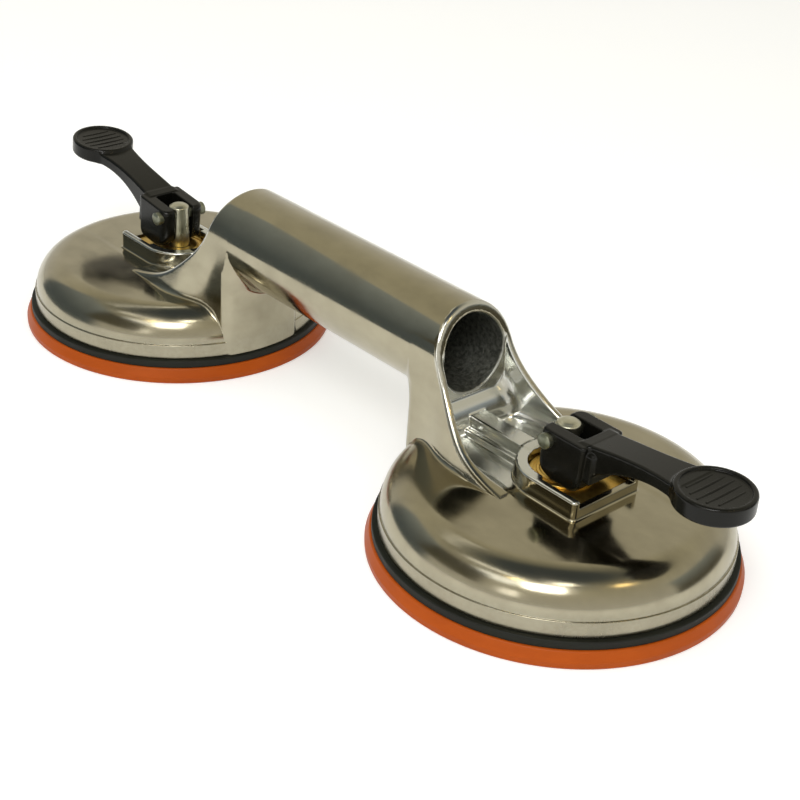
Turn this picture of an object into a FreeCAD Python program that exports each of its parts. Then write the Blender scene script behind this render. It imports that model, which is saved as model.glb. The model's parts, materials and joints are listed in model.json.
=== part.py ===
"""Floor tile suction lifter: one die-cast aluminium handle on two suction cups.

The handle, its two scoop-shaped legs and the two cup domes are a single casting. Under each dome
sits a rubber suction pad with a steel anchor plate in it. A stud runs from the plate up through
the dome, and a black cam lever on top pulls it up. Millimetres, Z up, X along the handle, the
origin on the floor midway between the cups. The right-hand cup is at +X, the left-hand one is
the same parts turned half a turn about Z.
"""
import FreeCAD, Part
import math
import os

Vector = FreeCAD.Vector
UP = Vector(0, 0, 1)
ALONG = Vector(1, 0, 0)
ACROSS = Vector(0, 1, 0)

# Overall sizes
cup_spacing = 207.4
pad_diameter = 120.0
tube_diameter = 33.6
tube_axis_z = 51.7
dome_top_z = 26.6
cup_x = cup_spacing / 2
pad_r = pad_diameter / 2
tube_r = tube_diameter / 2
tube_top_z = tube_axis_z + tube_r
clear_z = tube_axis_z + 2 * tube_r       # well above every casting surface

# Clearances
fit_gap = 0.02                # pressed or seated parts
guide_gap = 0.08              # stud in its guide bush
pin_hole_gap = 0.05           # hinge pin in the stud
seat_gap = 0.1
part_gap = 0.3
fork_slot_gap = 0.35          # fork on each side of the stud
cam_gap = 0.15                # between the cams and the washer
washer_gap = 0.6              # washer inside the boss's hole

# Handle tube and its mouths
tube_wall = 2.8
mouth_setback = 42.4          # from the cup axis back to the plane of the tube's mouth
bore_r = tube_r - tube_wall
mouth_x = cup_x - mouth_setback

# Suction pad
pad_lip_z = 5.5
pad_bevel = 1.4
pad_bottom_band = 2.2
seal_width = 10.0
membrane = 2.2
pad_centre_z = 8.0
pad_hollow_step = 3.0         # the flat middle ends this far inside the anchor plate's edge
pad_top_r = pad_r - pad_bevel
seal_inner_r = pad_r - seal_width

# Backing ring between the pad and the dome's rim
ring_thickness = 2.8
ring_width = 7.0
ring_step = 0.6               # the ring stands this far inside the pad's upper edge
ring_r = pad_top_r - ring_step

# Dome of each cup
rim_inset = 3.7
bead_height = 5.3             # parting bead round the wall, above the rim
bead_step = 0.5
shoulder_r = 12.0
crown_drop = 0.8              # fall of the crown from its middle to the shoulder
dome_wall = 3.2
rim_z = pad_lip_z + ring_thickness
rim_r = pad_r - rim_inset
wall_r = rim_r - bead_step
bead_z = rim_z + bead_height
shoulder_x = wall_r - shoulder_r
roof_z = dome_top_z - crown_drop - dome_wall

# Leg and scoop
leg_wall_inset = 0.7
leg_wall_r = rim_r - leg_wall_inset   # handle-side wall, coaxial with the cup
leg_core_half_width = 14.8
leg_flare = 0.27              # sideways run of the scoop's sides for each unit of fall
flare_start = -leg_wall_r - 2.4
flare_shares = [(flare_start, 0.1), (-40.0, 0.38), (-30.0, 0.86), (-18.0, 1.0), (2.0, 1.0)]
leg_wall = 2.8
leg_proud = 0.05              # the legs stand this much proud of the tube, inside and out
leg_corner_r = 0.5
leg_fillet = 7.0              # round corner where the tube's underside meets the leg
root_corner_r = tube_r - 1.2  # lower edges of that corner, nearly as round as the tube at its start
root_corner_least = 2.0
root_corner_rate = 0.75       # how fast they sharpen down the leg
floor_sink = 0.2
floor_z = dome_top_z - floor_sink     # floor of the scoop
floor_corner_r = 5.0
ledge_length = 4.6            # sloping shelf under the bore's lower edge
ledge_drop = 4.4
ledge_foot = 0.6              # lean of the ledge's front down to the floor
mouth_gap = 0.2               # the scoop's hollow starts this far inside the mouth
scoop_end = 6.0               # the hollow's floor is cut to here, past the cup axis
# The lip's curve: distance in front of the mouth, and share of the rise from the dome to the tube's top
lip_shape = [(-4.6, 1.060), (-1.9, 0.857), (0.1, 0.702), (2.7, 0.568), (8.7, 0.372), (18.7, 0.1575),
             (30.7, 0.0406), (45.0, -0.0239)]

# Two-tier rib along the scoop's floor
rib_half_width = 3.8
rib_height = 6.0
rib_foot_half_width = 6.2
rib_foot_height = 2.0
rib_root = 2.0                # the rib starts this far inside the ledge and the floor

# Boss that frames the stud and the lever's foot
boss_hole_r = 11.0
boss_rim = 4.0
boss_half_width = boss_hole_r + boss_rim
boss_front = 18.6             # square front end, from the cup axis
boss_height = 5.9
boss_front_drop = 2.7
boss_wall = 2.5
boss_pocket_back = 2.0        # the pocket's square part starts this far in front of the stud
pocket_rise = 1.1
boss_top_z = dome_top_z + boss_height
boss_front_top_z = boss_top_z - boss_front_drop
pocket_floor_z = dome_top_z + pocket_rise

# Wear plate and cam washer
wear_plate_thickness = 1.2
washer_thickness = 1.3
washer_bevel = 0.6
washer_r = boss_hole_r - washer_gap
wear_plate_top_z = pocket_floor_z + wear_plate_thickness
washer_top_z = wear_plate_top_z + washer_thickness

# Stud and hinge pin
stud_d = 7.8
stud_r = stud_d / 2
stud_above_pin = 4.2
stud_crown = 1.6              # rounded top end
pin_d = 5.0
pin_height = 13.3             # pin above the washer
pin_proud = 2.3               # length of the pin outside each cheek
pin_chamfer = 0.4
flat_edge = 0.01              # an edge that rises less than this is a level one
pin_z = washer_top_z + pin_height
stud_top_z = pin_z + stud_above_pin

# Guide bush, in the hub under the dome
guide_bush_wall = 2.0
guide_bush_flange = 1.2
guide_bush_flange_width = 1.4
hub_wall = 1.6
hub_length = 2.2
guide_bush_r = stud_r + guide_gap + guide_bush_wall
guide_bush_flange_r = guide_bush_r + guide_bush_flange_width
hub_r = guide_bush_flange_r + hub_wall
hub_z = roof_z - hub_length

# Anchor plate and lock nut
anchor_r = 27.0
anchor_thickness = 2.6
anchor_hub_wall = 4.6
anchor_hub_height = 2.3
nut_across = 12.0
nut_height = 3.0
anchor_z = pad_centre_z + membrane + part_gap
anchor_hub_r = stud_r + anchor_hub_wall
anchor_hub_top_z = anchor_z + anchor_thickness + anchor_hub_height

# Return spring and its seat
spring_wire = 1.4
spring_turns = 2.5
spring_sides = 6              # the hidden wire is drawn six-sided
spring_gap = 0.9
spring_seat_margin = 1.2
spring_seat_thickness = 1.0
spring_mean_r = hub_r + spring_gap + spring_wire / 2
spring_seat_r = spring_mean_r + spring_wire / 2 + spring_seat_margin
spring_seat_z = roof_z - spring_seat_thickness

# Cam lever
lever_travel = 80.0           # degrees from locked to released
stud_stroke = 7.0             # how far the stud drops over that travel
left_lever_lift = 6.5         # the left lever stands a little above its locked place
fork_half_width = 9.0
fork_corner_r = 3.0           # upright corners on the tube side
fork_rise = 3.5               # fork's top above the pin
fork_top_corner = 2.0         # bevel along the fork's upper back edge
fork_back = 3.8               # tube-side end of the fork, from the pin
fork_front = 14.4
fork_slot_front = 10.4
fork_front_lean = 0.8
fork_front_lift = 3.5         # height of the rounded front end of the foot
fork_foot_r = 3.6
arm_root = 3.0                # the arm starts this far inside the fork's front
arm_half_width = 6.6
arm_waist_x = 30.0
arm_waist_half_width = 6.0
arm_end_half_width = 8.0
arm_crown = 2.3               # rise of the arm's top line midway
arm_hollow = 2.0              # the arm's underside, midway, lies this far below the pin
arm_hollow_x = 12.0
arm_root_lift = 4.0
thumb_reach = 55.3
thumb_r = 12.1
thumb_rise = 8.3              # top of the disc above the pin
thumb_thickness = 6.0
thumb_overlap = 4.0           # the arm ends this far inside the disc's edge
thumb_step = 1.2              # the disc stands this much above the arm's end
thumb_recess = 0.6
thumb_rim = 1.7
thumb_edge = 0.8
fork_top_z = pin_z + fork_rise
thumb_top_z = pin_z + thumb_rise
pin_half_length = fork_half_width + pin_proud


def edge(a, b):
    """Return the straight edge between two points."""
    return Part.makeLine(a, b)


def arc(a, middle, b):
    """Return the arc through three points."""
    return Part.Arc(a, middle, b).toShape()


def face(edges):
    """Return the flat face that a closed loop of edges bounds."""
    return Part.Face(Part.Wire(Part.__sortEdges__(edges)))


def polygon(points):
    """Return the flat face of a closed polygon."""
    return Part.Face(Part.makePolygon(points + [points[0]]))


def turned(points):
    """Return the solid turned about the cup axis from (radius, height) corners."""
    outline = polygon([Vector(r, 0, z) for r, z in points])
    return outline.revolve(Vector(0, 0, 0), UP, 360)


def rod(radius, z0, z1):
    """Return an upright cylinder on the cup axis."""
    return Part.makeCylinder(radius, z1 - z0, Vector(0, 0, z0), UP)


def ring(outer_r, inner_r, z0, z1):
    """Return an upright ring on the cup axis."""
    return rod(outer_r, z0, z1).cut(rod(inner_r, z0, z1))


def block(x0, x1, half_width, z0, z1):
    """Return a box that is centred across the handle."""
    return Part.makeBox(x1 - x0, 2 * half_width, z1 - z0, Vector(x0, -half_width, z0))


def side_profile(outline, half_width):
    """Return a profile in the XZ plane, drawn out to both sides."""
    outline.translate(Vector(0, -half_width, 0))
    return outline.extrude(Vector(0, 2 * half_width, 0))


def at_cup(shape, turn=0):
    """Return a copy on the right-hand cup, or on the left-hand one after half a turn."""
    placed = shape.copy()
    placed.translate(Vector(cup_x, 0, 0))
    placed.rotate(Vector(0, 0, 0), UP, turn)
    return placed


def dome_outer():
    """Return the outside of a dome: bead, wall, round shoulder and slightly falling crown."""
    slope = crown_drop / shoulder_x
    normal = Vector(slope, 0, 1).normalize()
    shoulder_z = dome_top_z - slope * shoulder_x - shoulder_r / normal.z
    centre = Vector(shoulder_x, 0, shoulder_z)
    foot = centre + ALONG * shoulder_r
    touch = centre + normal * shoulder_r
    middle = centre + (ALONG + normal).normalize() * shoulder_r
    base = Vector(0, 0, rim_z)
    apex = Vector(0, 0, dome_top_z)
    corners = [apex, base, Vector(rim_r, 0, rim_z), Vector(rim_r, 0, bead_z),
               Vector(wall_r, 0, bead_z + bead_step), foot]
    edges = [edge(a, b) for a, b in zip(corners, corners[1:])]
    outline = face(edges + [arc(foot, middle, touch), edge(touch, apex)])
    return outline.revolve(Vector(0, 0, 0), UP, 360)


def dome_cavity():
    """Return the hollow under a dome, as the core leaves it."""
    inner_r = wall_r - dome_wall
    low = rim_z - 1
    return turned([(0, low), (inner_r, low), (inner_r, bead_z), (inner_r - shoulder_r / 2, roof_z),
                   (0, roof_z)])


def scoop_section(x, radius, flare, bottom_z, corner_r):
    """Return one cross-section of the leg: the tube's arc over flared sides and a floor."""
    angle = math.atan(flare)
    touch_y = radius * math.cos(angle)
    touch_z = tube_axis_z + radius * math.sin(angle)
    foot_y = touch_y + flare * (touch_z - bottom_z)
    side = Vector(0, foot_y - touch_y, bottom_z - touch_z).normalize()
    set_back = corner_r * math.tan((math.pi / 2 - angle) / 2)
    corner = Vector(x, foot_y, bottom_z)
    up_side = corner - side * set_back
    along_floor = corner - Vector(0, set_back, 0)
    centre = Vector(x, foot_y - set_back, bottom_z + corner_r)
    bulge = centre + (corner - centre).normalize() * corner_r

    def flip(p):
        return Vector(p.x, -p.y, p.z)

    touch = Vector(x, touch_y, touch_z)
    top = Vector(x, 0, tube_axis_z + radius)
    return Part.Wire([
        arc(flip(touch), top, touch),
        edge(touch, up_side),
        arc(up_side, bulge, along_floor),
        edge(along_floor, flip(along_floor)),
        arc(flip(along_floor), flip(bulge), flip(up_side)),
        edge(flip(up_side), flip(touch)),
    ])


def scoop_body(radius, bottom_z, corner_r, start):
    """Return the leg's flared body, lofted from the handle side to the cup axis."""
    wires = []
    for offset, share in [(start, flare_shares[0][1])] + flare_shares[1:]:
        wires.append(scoop_section(offset, radius, leg_flare * share, bottom_z, corner_r))
    return Part.makeLoft(wires, True, False)


def above_lip():
    """Return the space over the scoop's lip, which sweeps down from the mouth to the dome."""
    curve = Part.BSplineCurve()
    rise = tube_top_z - dome_top_z
    points = [Vector(x - mouth_setback, 0, dome_top_z + share * rise) for x, share in lip_shape]
    curve.interpolate(Points=points)
    start, end = points[0], points[-1]
    corners = [end, Vector(cup_x, 0, end.z), Vector(cup_x, 0, clear_z), Vector(start.x, 0, clear_z), start]
    edges = [curve.toShape()] + [edge(a, b) for a, b in zip(corners, corners[1:])]
    return side_profile(face(edges), 2 * tube_r)


def scoop_hollow():
    """Return the open space of the scoop, with the sloping ledge under the bore's edge."""
    start = -mouth_setback - mouth_gap
    inner = scoop_body(bore_r + leg_proud, floor_z, floor_corner_r, -leg_wall_r + leg_wall)
    bore_bottom = tube_axis_z - bore_r
    ledge_end = start + ledge_length
    outline = polygon([Vector(start, 0, bore_bottom), Vector(ledge_end, 0, bore_bottom - ledge_drop),
                       Vector(ledge_end + ledge_foot, 0, floor_z - 1), Vector(scoop_end, 0, floor_z - 1),
                       Vector(scoop_end, 0, clear_z), Vector(start, 0, clear_z)])
    return inner.common(side_profile(outline, 2 * tube_r))


def leg_outer():
    """Return the outside of one leg, from the dome's rim up round the tube."""
    body = scoop_body(tube_r + leg_proud, rim_z, leg_corner_r, flare_start)
    body = body.common(rod(leg_wall_r, rim_z, clear_z))
    return body.fuse(leg_root()).cut(above_lip())


def leg_root():
    """Return the rounded corner where the tube's underside runs down into the leg's wall."""
    under_z = tube_axis_z - tube_r
    wall = -leg_wall_r
    r = leg_fillet
    proud = leg_proud / 2
    stations = [(wall - 1.2 * r, 0.4, -proud), (wall - 0.62 * r, -0.55, proud),
                (wall - 0.3 * r, -0.3 * r, proud), (wall + 0.06 * r, -0.85 * r, proud),
                (wall + 0.7 * r, -2.4 * r, proud)]
    wires = []
    for x, fall, step in stations:
        corner_r = max(root_corner_r + root_corner_rate * fall, root_corner_least)
        wires.append(scoop_section(x, tube_r + step, 0.0, under_z + fall, corner_r))
    body = Part.makeLoft(wires, True, False)
    inset = leg_wall_r - leg_proud
    low = Vector(inset, 0, under_z - r)
    high = Vector(inset + r, 0, under_z)
    middle = Vector(inset + r * (1 - math.sqrt(0.5)), 0, under_z - r * (1 - math.sqrt(0.5)))
    far = Vector(inset + r, 0, clear_z)
    apex = Vector(0, 0, clear_z)
    base = Vector(0, 0, rim_z + 1)
    foot = Vector(inset, 0, rim_z + 1)
    outline = face([edge(base, foot), edge(foot, low), arc(low, middle, high),
                    edge(high, far), edge(far, apex), edge(apex, base)])
    return body.common(outline.revolve(Vector(0, 0, 0), UP, 360))


def leg_core():
    """Return the hollow cored out of a leg from below."""
    x0 = -leg_wall_r + dome_wall
    x1 = -mouth_setback + ledge_length - leg_wall
    return block(x0, x1, leg_core_half_width, rim_z, tube_axis_z - bore_r - leg_wall)


def rib():
    """Return the two-tier rib that runs from the ledge to the boss."""
    x0 = -mouth_setback + ledge_length - rib_root
    x1 = -boss_hole_r - 1
    foot = block(x0, x1, rib_foot_half_width, floor_z - rib_root, floor_z + rib_foot_height)
    crest = block(x0, x1, rib_half_width, floor_z - rib_root, floor_z + rib_height)
    return foot.fuse(crest)


def boss_outline(half_width, front, z0, z1):
    """Return an upright plate with a round back and a square front."""
    back = rod(half_width, z0, z1)
    return back.fuse(block(0, front, half_width, z0, z1))


def boss_outer():
    """Return the outside of the boss."""
    return boss_outline(boss_half_width, boss_front, roof_z + 1, boss_top_z).removeSplitter()


def boss_hollow():
    """Return the space inside the boss: a round hole behind, an open pocket in front."""
    pocket_half = boss_half_width - boss_wall
    pocket_front = boss_front - boss_wall
    space = rod(boss_hole_r, pocket_floor_z, boss_top_z + 1)
    back = boss_pocket_back
    space = space.fuse(block(back, pocket_front, pocket_half, pocket_floor_z, boss_top_z + 1))
    return space.fuse(block(back, boss_front + 1, pocket_half, boss_front_top_z, boss_top_z + 1))


def casting_end():
    """Return one dome with its leg and boss, still solid in the bore."""
    end = dome_outer().fuse(leg_outer())
    end = end.cut(scoop_hollow())
    end = end.cut(dome_cavity()).cut(leg_core())
    end = end.fuse(rib()).fuse(boss_outer())
    end = end.fuse(rod(hub_r, hub_z, roof_z + 1))
    end = end.cut(boss_hollow())
    end = end.cut(rod(guide_bush_r, hub_z - 1, pocket_floor_z + 1))
    return end.cut(rod(guide_bush_flange_r, hub_z - 1, hub_z + guide_bush_flange))


def handle_casting():
    """Return the whole casting."""
    length = 2 * mouth_x
    body = Part.makeCylinder(tube_r, length, Vector(-mouth_x, 0, tube_axis_z), ALONG)
    for turn in (0, 180):
        body = body.cut(at_cup(above_lip(), turn))
    for turn in (0, 180):
        body = body.fuse(at_cup(casting_end(), turn))
    bore_half = mouth_x + 0.5
    bore = Part.makeCylinder(bore_r, 2 * bore_half, Vector(-bore_half, 0, tube_axis_z), ALONG)
    return body.cut(bore).removeSplitter()


def suction_pad(drop):
    """Return the rubber pad: a thick lip round a thin membrane that rises to the middle."""
    low_z = pad_centre_z - drop
    top_z = low_z + membrane
    return turned([(0, low_z), (anchor_r - pad_hollow_step, low_z), (seal_inner_r, 0),
                   (pad_r, 0), (pad_r, pad_bottom_band), (pad_top_r, pad_lip_z),
                   (seal_inner_r - 1, pad_lip_z), (anchor_r + part_gap, top_z), (0, top_z)])


def rim_ring():
    """Return the black backing ring between the pad and the dome's rim."""
    return ring(ring_r, ring_r - ring_width, pad_lip_z, rim_z)


def anchor_plate():
    """Return the steel plate in the middle of the pad, with the stud's threaded hub."""
    plate_top_z = anchor_z + anchor_thickness
    return turned([(stud_r, anchor_z), (anchor_r, anchor_z), (anchor_r, plate_top_z),
                   (anchor_hub_r, plate_top_z), (anchor_hub_r, anchor_hub_top_z),
                   (stud_r, anchor_hub_top_z)])


def stud():
    """Return the stud, with a chamfered top and a cross hole for the hinge pin."""
    r = stud_r
    crown = stud_crown
    body = turned([(0, anchor_z), (r, anchor_z), (r, stud_top_z - crown),
                   (r - 0.3 * crown, stud_top_z - 0.4 * crown), (r - crown, stud_top_z),
                   (0, stud_top_z)])
    hole_r = pin_d / 2 + pin_hole_gap
    hole = Part.makeCylinder(hole_r, stud_d + 2, Vector(0, -r - 1, pin_z), ACROSS)
    return body.cut(hole)


def hinge_pin():
    """Return the pin that carries the lever."""
    pin = Part.makeCylinder(pin_d / 2, 2 * pin_half_length, Vector(0, -pin_half_length, pin_z), ACROSS)
    return pin.makeChamfer(pin_chamfer, [e for e in pin.Edges if e.BoundBox.YLength < flat_edge])


def lock_nut():
    """Return the thin nut that locks the stud in its plate."""
    across_corners = nut_across / math.cos(math.pi / 6)
    corners = []
    for i in range(6):
        turn = i * math.pi / 3
        corners.append(Vector(across_corners / 2 * math.cos(turn), across_corners / 2 * math.sin(turn),
                              anchor_hub_top_z))
    body = polygon(corners).extrude(UP * nut_height)
    return body.cut(rod(stud_r, anchor_hub_top_z - 1, anchor_hub_top_z + nut_height + 1))


def return_spring(drop):
    """Return the compression spring that pushes the plate down when the lever is released."""
    bottom = anchor_z - drop + anchor_thickness + spring_wire / 2 + seat_gap
    top = spring_seat_z - spring_wire / 2 - seat_gap
    pitch = (top - bottom) / spring_turns
    helix = Part.makeHelix(pitch, top - bottom, spring_mean_r)
    helix.translate(Vector(0, 0, bottom))
    corners = []
    for i in range(spring_sides + 1):
        turn = 2 * math.pi * i / spring_sides
        corners.append(Vector(spring_mean_r + spring_wire / 2 * math.cos(turn), 0,
                              bottom + spring_wire / 2 * math.sin(turn)))
    return Part.Wire(helix.Edges).makePipeShell([Part.makePolygon(corners)], True, True)


def spring_seat():
    """Return the flat washer that the spring's upper end bears on, round the dome's hub."""
    return ring(spring_seat_r, hub_r + seat_gap, spring_seat_z, roof_z)


def guide_bush():
    """Return the flanged bush that guides the stud through the dome."""
    flange_z = hub_z
    body = rod(guide_bush_r - fit_gap, flange_z, pocket_floor_z)
    body = body.fuse(rod(guide_bush_flange_r - fit_gap, flange_z, flange_z + guide_bush_flange))
    return body.cut(rod(stud_r + guide_gap, flange_z - 1, pocket_floor_z + 1)).removeSplitter()


def wear_plate():
    """Return the yellow zinc-plated plate on the pocket's floor."""
    front = boss_front - boss_wall - part_gap
    half = boss_half_width - boss_wall - part_gap
    plate = rod(boss_hole_r - part_gap, pocket_floor_z, wear_plate_top_z)
    plate = plate.fuse(block(boss_pocket_back + part_gap, front, half, pocket_floor_z, wear_plate_top_z))
    return plate.cut(rod(stud_r + part_gap, pocket_floor_z - 1, wear_plate_top_z + 1)).removeSplitter()


def cam_washer():
    """Return the stepped washer that the lever's cams bear on."""
    bore = stud_r + part_gap
    return turned([(bore, wear_plate_top_z), (washer_r, wear_plate_top_z),
                   (washer_r, washer_top_z - washer_bevel),
                   (washer_r - washer_bevel, washer_top_z), (bore, washer_top_z)])


def cam_point(turn):
    """Return a point of the cam flank whose reach falls evenly as the lever turns."""
    reach = pin_z - washer_top_z - cam_gap
    fall = stud_stroke / math.radians(lever_travel)
    h = reach - fall * turn
    x = -h * math.sin(turn) + fall * math.cos(turn)
    z = -h * math.cos(turn) - fall * math.sin(turn)
    return Vector(x, 0, pin_z + z)


def cam_flank():
    """Return the points of the cam flank, from its heel to the back of the fork."""
    low, high = 0.0, math.pi / 2
    for _ in range(30):
        middle = (low + high) / 2
        if cam_point(middle).x > -fork_back:
            low = middle
        else:
            high = middle
    steps = 4
    return [cam_point(low * i / steps) for i in range(steps + 1)]


def lever_fork():
    """Return the lever's fork with its cam-shaped foot, round at its tube-side corners."""
    points = cam_flank()
    flank = Part.BSplineCurve()
    flank.interpolate(Points=points, InitialTangent=-ALONG)
    heel = points[0]
    back = points[-1]
    top_back = Vector(back.x, 0, fork_top_z - fork_top_corner)
    top_start = Vector(back.x + fork_top_corner, 0, fork_top_z)
    top_front = Vector(fork_front, 0, fork_top_z)
    low_front = Vector(fork_front - fork_front_lean, 0, heel.z + fork_front_lift)
    foot_front = low_front - Vector(fork_foot_r, 0, fork_front_lift)
    bulge = low_front - Vector(0.3 * fork_foot_r, 0, 0.7 * fork_front_lift)
    edges = [flank.toShape(), edge(back, top_back), edge(top_back, top_start),
             edge(top_start, top_front), edge(top_front, low_front),
             arc(low_front, bulge, foot_front), edge(foot_front, heel)]
    body = side_profile(face(edges), fork_half_width)
    body = body.common(fork_plan(back.x))
    slot = stud_r + fork_slot_gap
    return body.cut(block(back.x - 1, fork_slot_front, slot, heel.z - 1, fork_top_z + 1))


def fork_plan(back_x):
    """Return the fork's plan outline as an upright body."""
    r = fork_corner_r
    inner_y = fork_half_width - r
    bulge = r * (1 - math.sqrt(0.5))
    side = fork_half_width
    edges = []
    for sign in (1, -1):
        on_back = Vector(back_x, sign * inner_y, 0)
        on_side = Vector(back_x + r, sign * side, 0)
        edges.append(arc(on_back, Vector(back_x + bulge, sign * (side - bulge), 0), on_side))
        edges.append(edge(on_side, Vector(fork_front, sign * side, 0)))
    edges.append(edge(Vector(back_x, inner_y, 0), Vector(back_x, -inner_y, 0)))
    edges.append(edge(Vector(fork_front, side, 0), Vector(fork_front, -side, 0)))
    return face(edges).extrude(UP * 2 * tube_axis_z)


def lever_arm():
    """Return the lever's arm, curved underneath, widening into the thumb disc."""
    root_x = fork_front - arm_root
    end_x = thumb_reach - thumb_r + thumb_overlap
    top_end = Vector(end_x, 0, thumb_top_z - thumb_step)
    top_root = Vector(root_x, 0, fork_top_z)
    top_middle = Vector((root_x + end_x) / 2, 0, fork_top_z + arm_crown)
    under_end = Vector(end_x, 0, thumb_top_z - thumb_thickness)
    under_root = Vector(root_x, 0, washer_top_z + arm_root_lift)
    under_middle = Vector(root_x + arm_hollow_x, 0, pin_z - arm_hollow)
    edges = [arc(top_root, top_middle, top_end), edge(top_end, under_end),
             arc(under_end, under_middle, under_root), edge(under_root, top_root)]
    body = side_profile(face(edges), fork_half_width)
    stations = [(root_x - 1, arm_half_width), (arm_waist_x, arm_waist_half_width),
                (end_x + 1, arm_end_half_width)]
    one_side = [Vector(x, half, 0) for x, half in stations]
    other_side = [Vector(x, -half, 0) for x, half in reversed(stations)]
    return body.common(polygon(one_side + other_side).extrude(UP * 2 * tube_axis_z))


def thumb_disc():
    """Return the bevelled disc at the lever's end, with its shallow dished top."""
    centre = Vector(thumb_reach, 0, thumb_top_z - thumb_thickness)
    disc = Part.makeCylinder(thumb_r, thumb_thickness, centre, UP)
    disc = disc.makeChamfer(thumb_edge, [e for e in disc.Edges if e.BoundBox.ZLength < flat_edge])
    recess_foot = Vector(thumb_reach, 0, thumb_top_z - thumb_recess)
    return disc.cut(Part.makeCylinder(thumb_r - thumb_rim, 1, recess_foot, UP))


def lever():
    """Return one cam lever: fork, arm and thumb disc, with the pin's hole."""
    body = lever_fork().fuse(lever_arm()).fuse(thumb_disc())
    hole_r = pin_d / 2 + fit_gap
    hole_foot = Vector(0, -pin_half_length, pin_z)
    hole = Part.makeCylinder(hole_r, 2 * pin_half_length, hole_foot, ACROSS)
    return body.cut(hole).removeSplitter()


def raised(shape, lift):
    """Return a lever part turned up about the pin by some degrees."""
    shape.rotate(Vector(0, 0, pin_z), -ACROSS, lift)
    return shape


def main():
    """Build every part and write it out, one file for each."""
    os.makedirs("parts", exist_ok=True)
    write("handle_casting", handle_casting())
    for side, turn, lift in (("right", 0, 0.0), ("left", 180, left_lever_lift)):
        drop = stud_stroke * lift / lever_travel
        fixed = {
            "suction_pad": suction_pad(drop), "rim_ring": rim_ring(),
            "return_spring": return_spring(drop), "spring_seat": spring_seat(),
            "guide_bush": guide_bush(), "wear_plate": wear_plate(), "cam_washer": cam_washer(),
        }
        sliding = {
            "anchor_plate": anchor_plate(), "stud": stud(), "lock_nut": lock_nut(),
            "lever": raised(lever(), lift), "hinge_pin": raised(hinge_pin(), lift),
        }
        for shape in sliding.values():
            shape.translate(-UP * drop)
        for name, shape in {**fixed, **sliding}.items():
            write(f"{name}_{side}", at_cup(shape, turn))


def write(name, shape):
    """Write one part and report it."""
    box = shape.BoundBox
    print(f"{name:22s} valid {shape.isValid()} solids {len(shape.Solids)} volume {shape.Volume:9.1f}"
          f"  x {box.XMin:7.1f} {box.XMax:7.1f}  y {box.YMin:6.1f} {box.YMax:6.1f}"
          f"  z {box.ZMin:5.1f} {box.ZMax:5.1f}")
    shape.exportStep(f"parts/{name}.step")


main()
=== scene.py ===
"""The looks of the floor tile suction lifter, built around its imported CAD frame.

Sizes in the classes are millimetres; a mesh becomes metres as it is made. The cups stand on the
floor at z 0, the handle runs along X, and the right-hand cup is at +X. The casting and the levers
are smooth forms, so they are modelled as distance fields and drawn as a net of small faces; round
parts are turned; the springs and the thumb grips come from Geometry Nodes.
"""

import json
import logging
import math
from collections.abc import Callable
from dataclasses import dataclass
from enum import Enum

import bmesh
import bpy
import numpy as np
from mathutils import Matrix, Vector


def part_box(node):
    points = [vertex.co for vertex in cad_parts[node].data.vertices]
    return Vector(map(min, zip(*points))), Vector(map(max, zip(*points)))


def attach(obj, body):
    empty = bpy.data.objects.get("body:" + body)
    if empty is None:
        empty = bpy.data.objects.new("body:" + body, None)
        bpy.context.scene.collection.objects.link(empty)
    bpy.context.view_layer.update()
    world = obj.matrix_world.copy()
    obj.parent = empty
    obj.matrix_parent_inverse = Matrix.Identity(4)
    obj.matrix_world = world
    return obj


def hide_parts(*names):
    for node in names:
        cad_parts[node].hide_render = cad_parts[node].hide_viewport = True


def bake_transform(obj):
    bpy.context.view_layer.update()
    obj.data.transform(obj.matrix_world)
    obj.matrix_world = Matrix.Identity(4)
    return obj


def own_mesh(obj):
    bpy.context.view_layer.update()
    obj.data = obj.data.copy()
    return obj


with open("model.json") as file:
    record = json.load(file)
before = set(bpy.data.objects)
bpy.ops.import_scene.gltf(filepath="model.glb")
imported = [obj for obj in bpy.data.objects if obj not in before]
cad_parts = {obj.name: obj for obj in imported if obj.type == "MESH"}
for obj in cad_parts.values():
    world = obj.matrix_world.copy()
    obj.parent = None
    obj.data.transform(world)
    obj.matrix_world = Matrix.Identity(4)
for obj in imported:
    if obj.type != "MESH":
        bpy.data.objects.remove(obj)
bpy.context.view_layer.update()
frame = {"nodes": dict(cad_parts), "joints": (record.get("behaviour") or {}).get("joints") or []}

MM = 0.001
LOG = logging.getLogger("suction_lifter")

Array = np.ndarray
Field = Callable[[Array, Array, Array], Array]
Pair = tuple[float, float]
Triple = tuple[float, float, float]
Profile = list[Pair]
Material = bpy.types.Material
Mesh = bpy.types.Mesh
Node = bpy.types.Node
Object = bpy.types.Object
Socket = bpy.types.NodeSocket
Tree = bpy.types.NodeTree

# Kinds of node that are used often
BUMP = "ShaderNodeBump"
COMBINE = "ShaderNodeCombineXYZ"
MATH = "ShaderNodeMath"
MIX = "ShaderNodeMix"
RANGE = "ShaderNodeMapRange"
SEPARATE = "ShaderNodeSeparateXYZ"


class Side(Enum):
    """The two cups, by the sign of their place along X."""

    RIGHT = 1
    LEFT = -1

    @property
    def label(self) -> str:
        """Return the word that ends this side's node and body names."""
        return self.name.lower()


def join(a: Array, b: Array, fillet: float | Array) -> Array:
    """Unite two distance fields with a round fillet in the corner between them.

    Args:
        a: Distance to the first form, negative inside.
        b: Distance to the second form, negative inside.
        fillet: Radius of the fillet.

    Returns:
        The distance to both forms together.
    """
    corner = np.hypot(np.maximum(fillet - a, 0), np.maximum(fillet - b, 0))
    return np.maximum(fillet, np.minimum(a, b)) - corner


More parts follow.
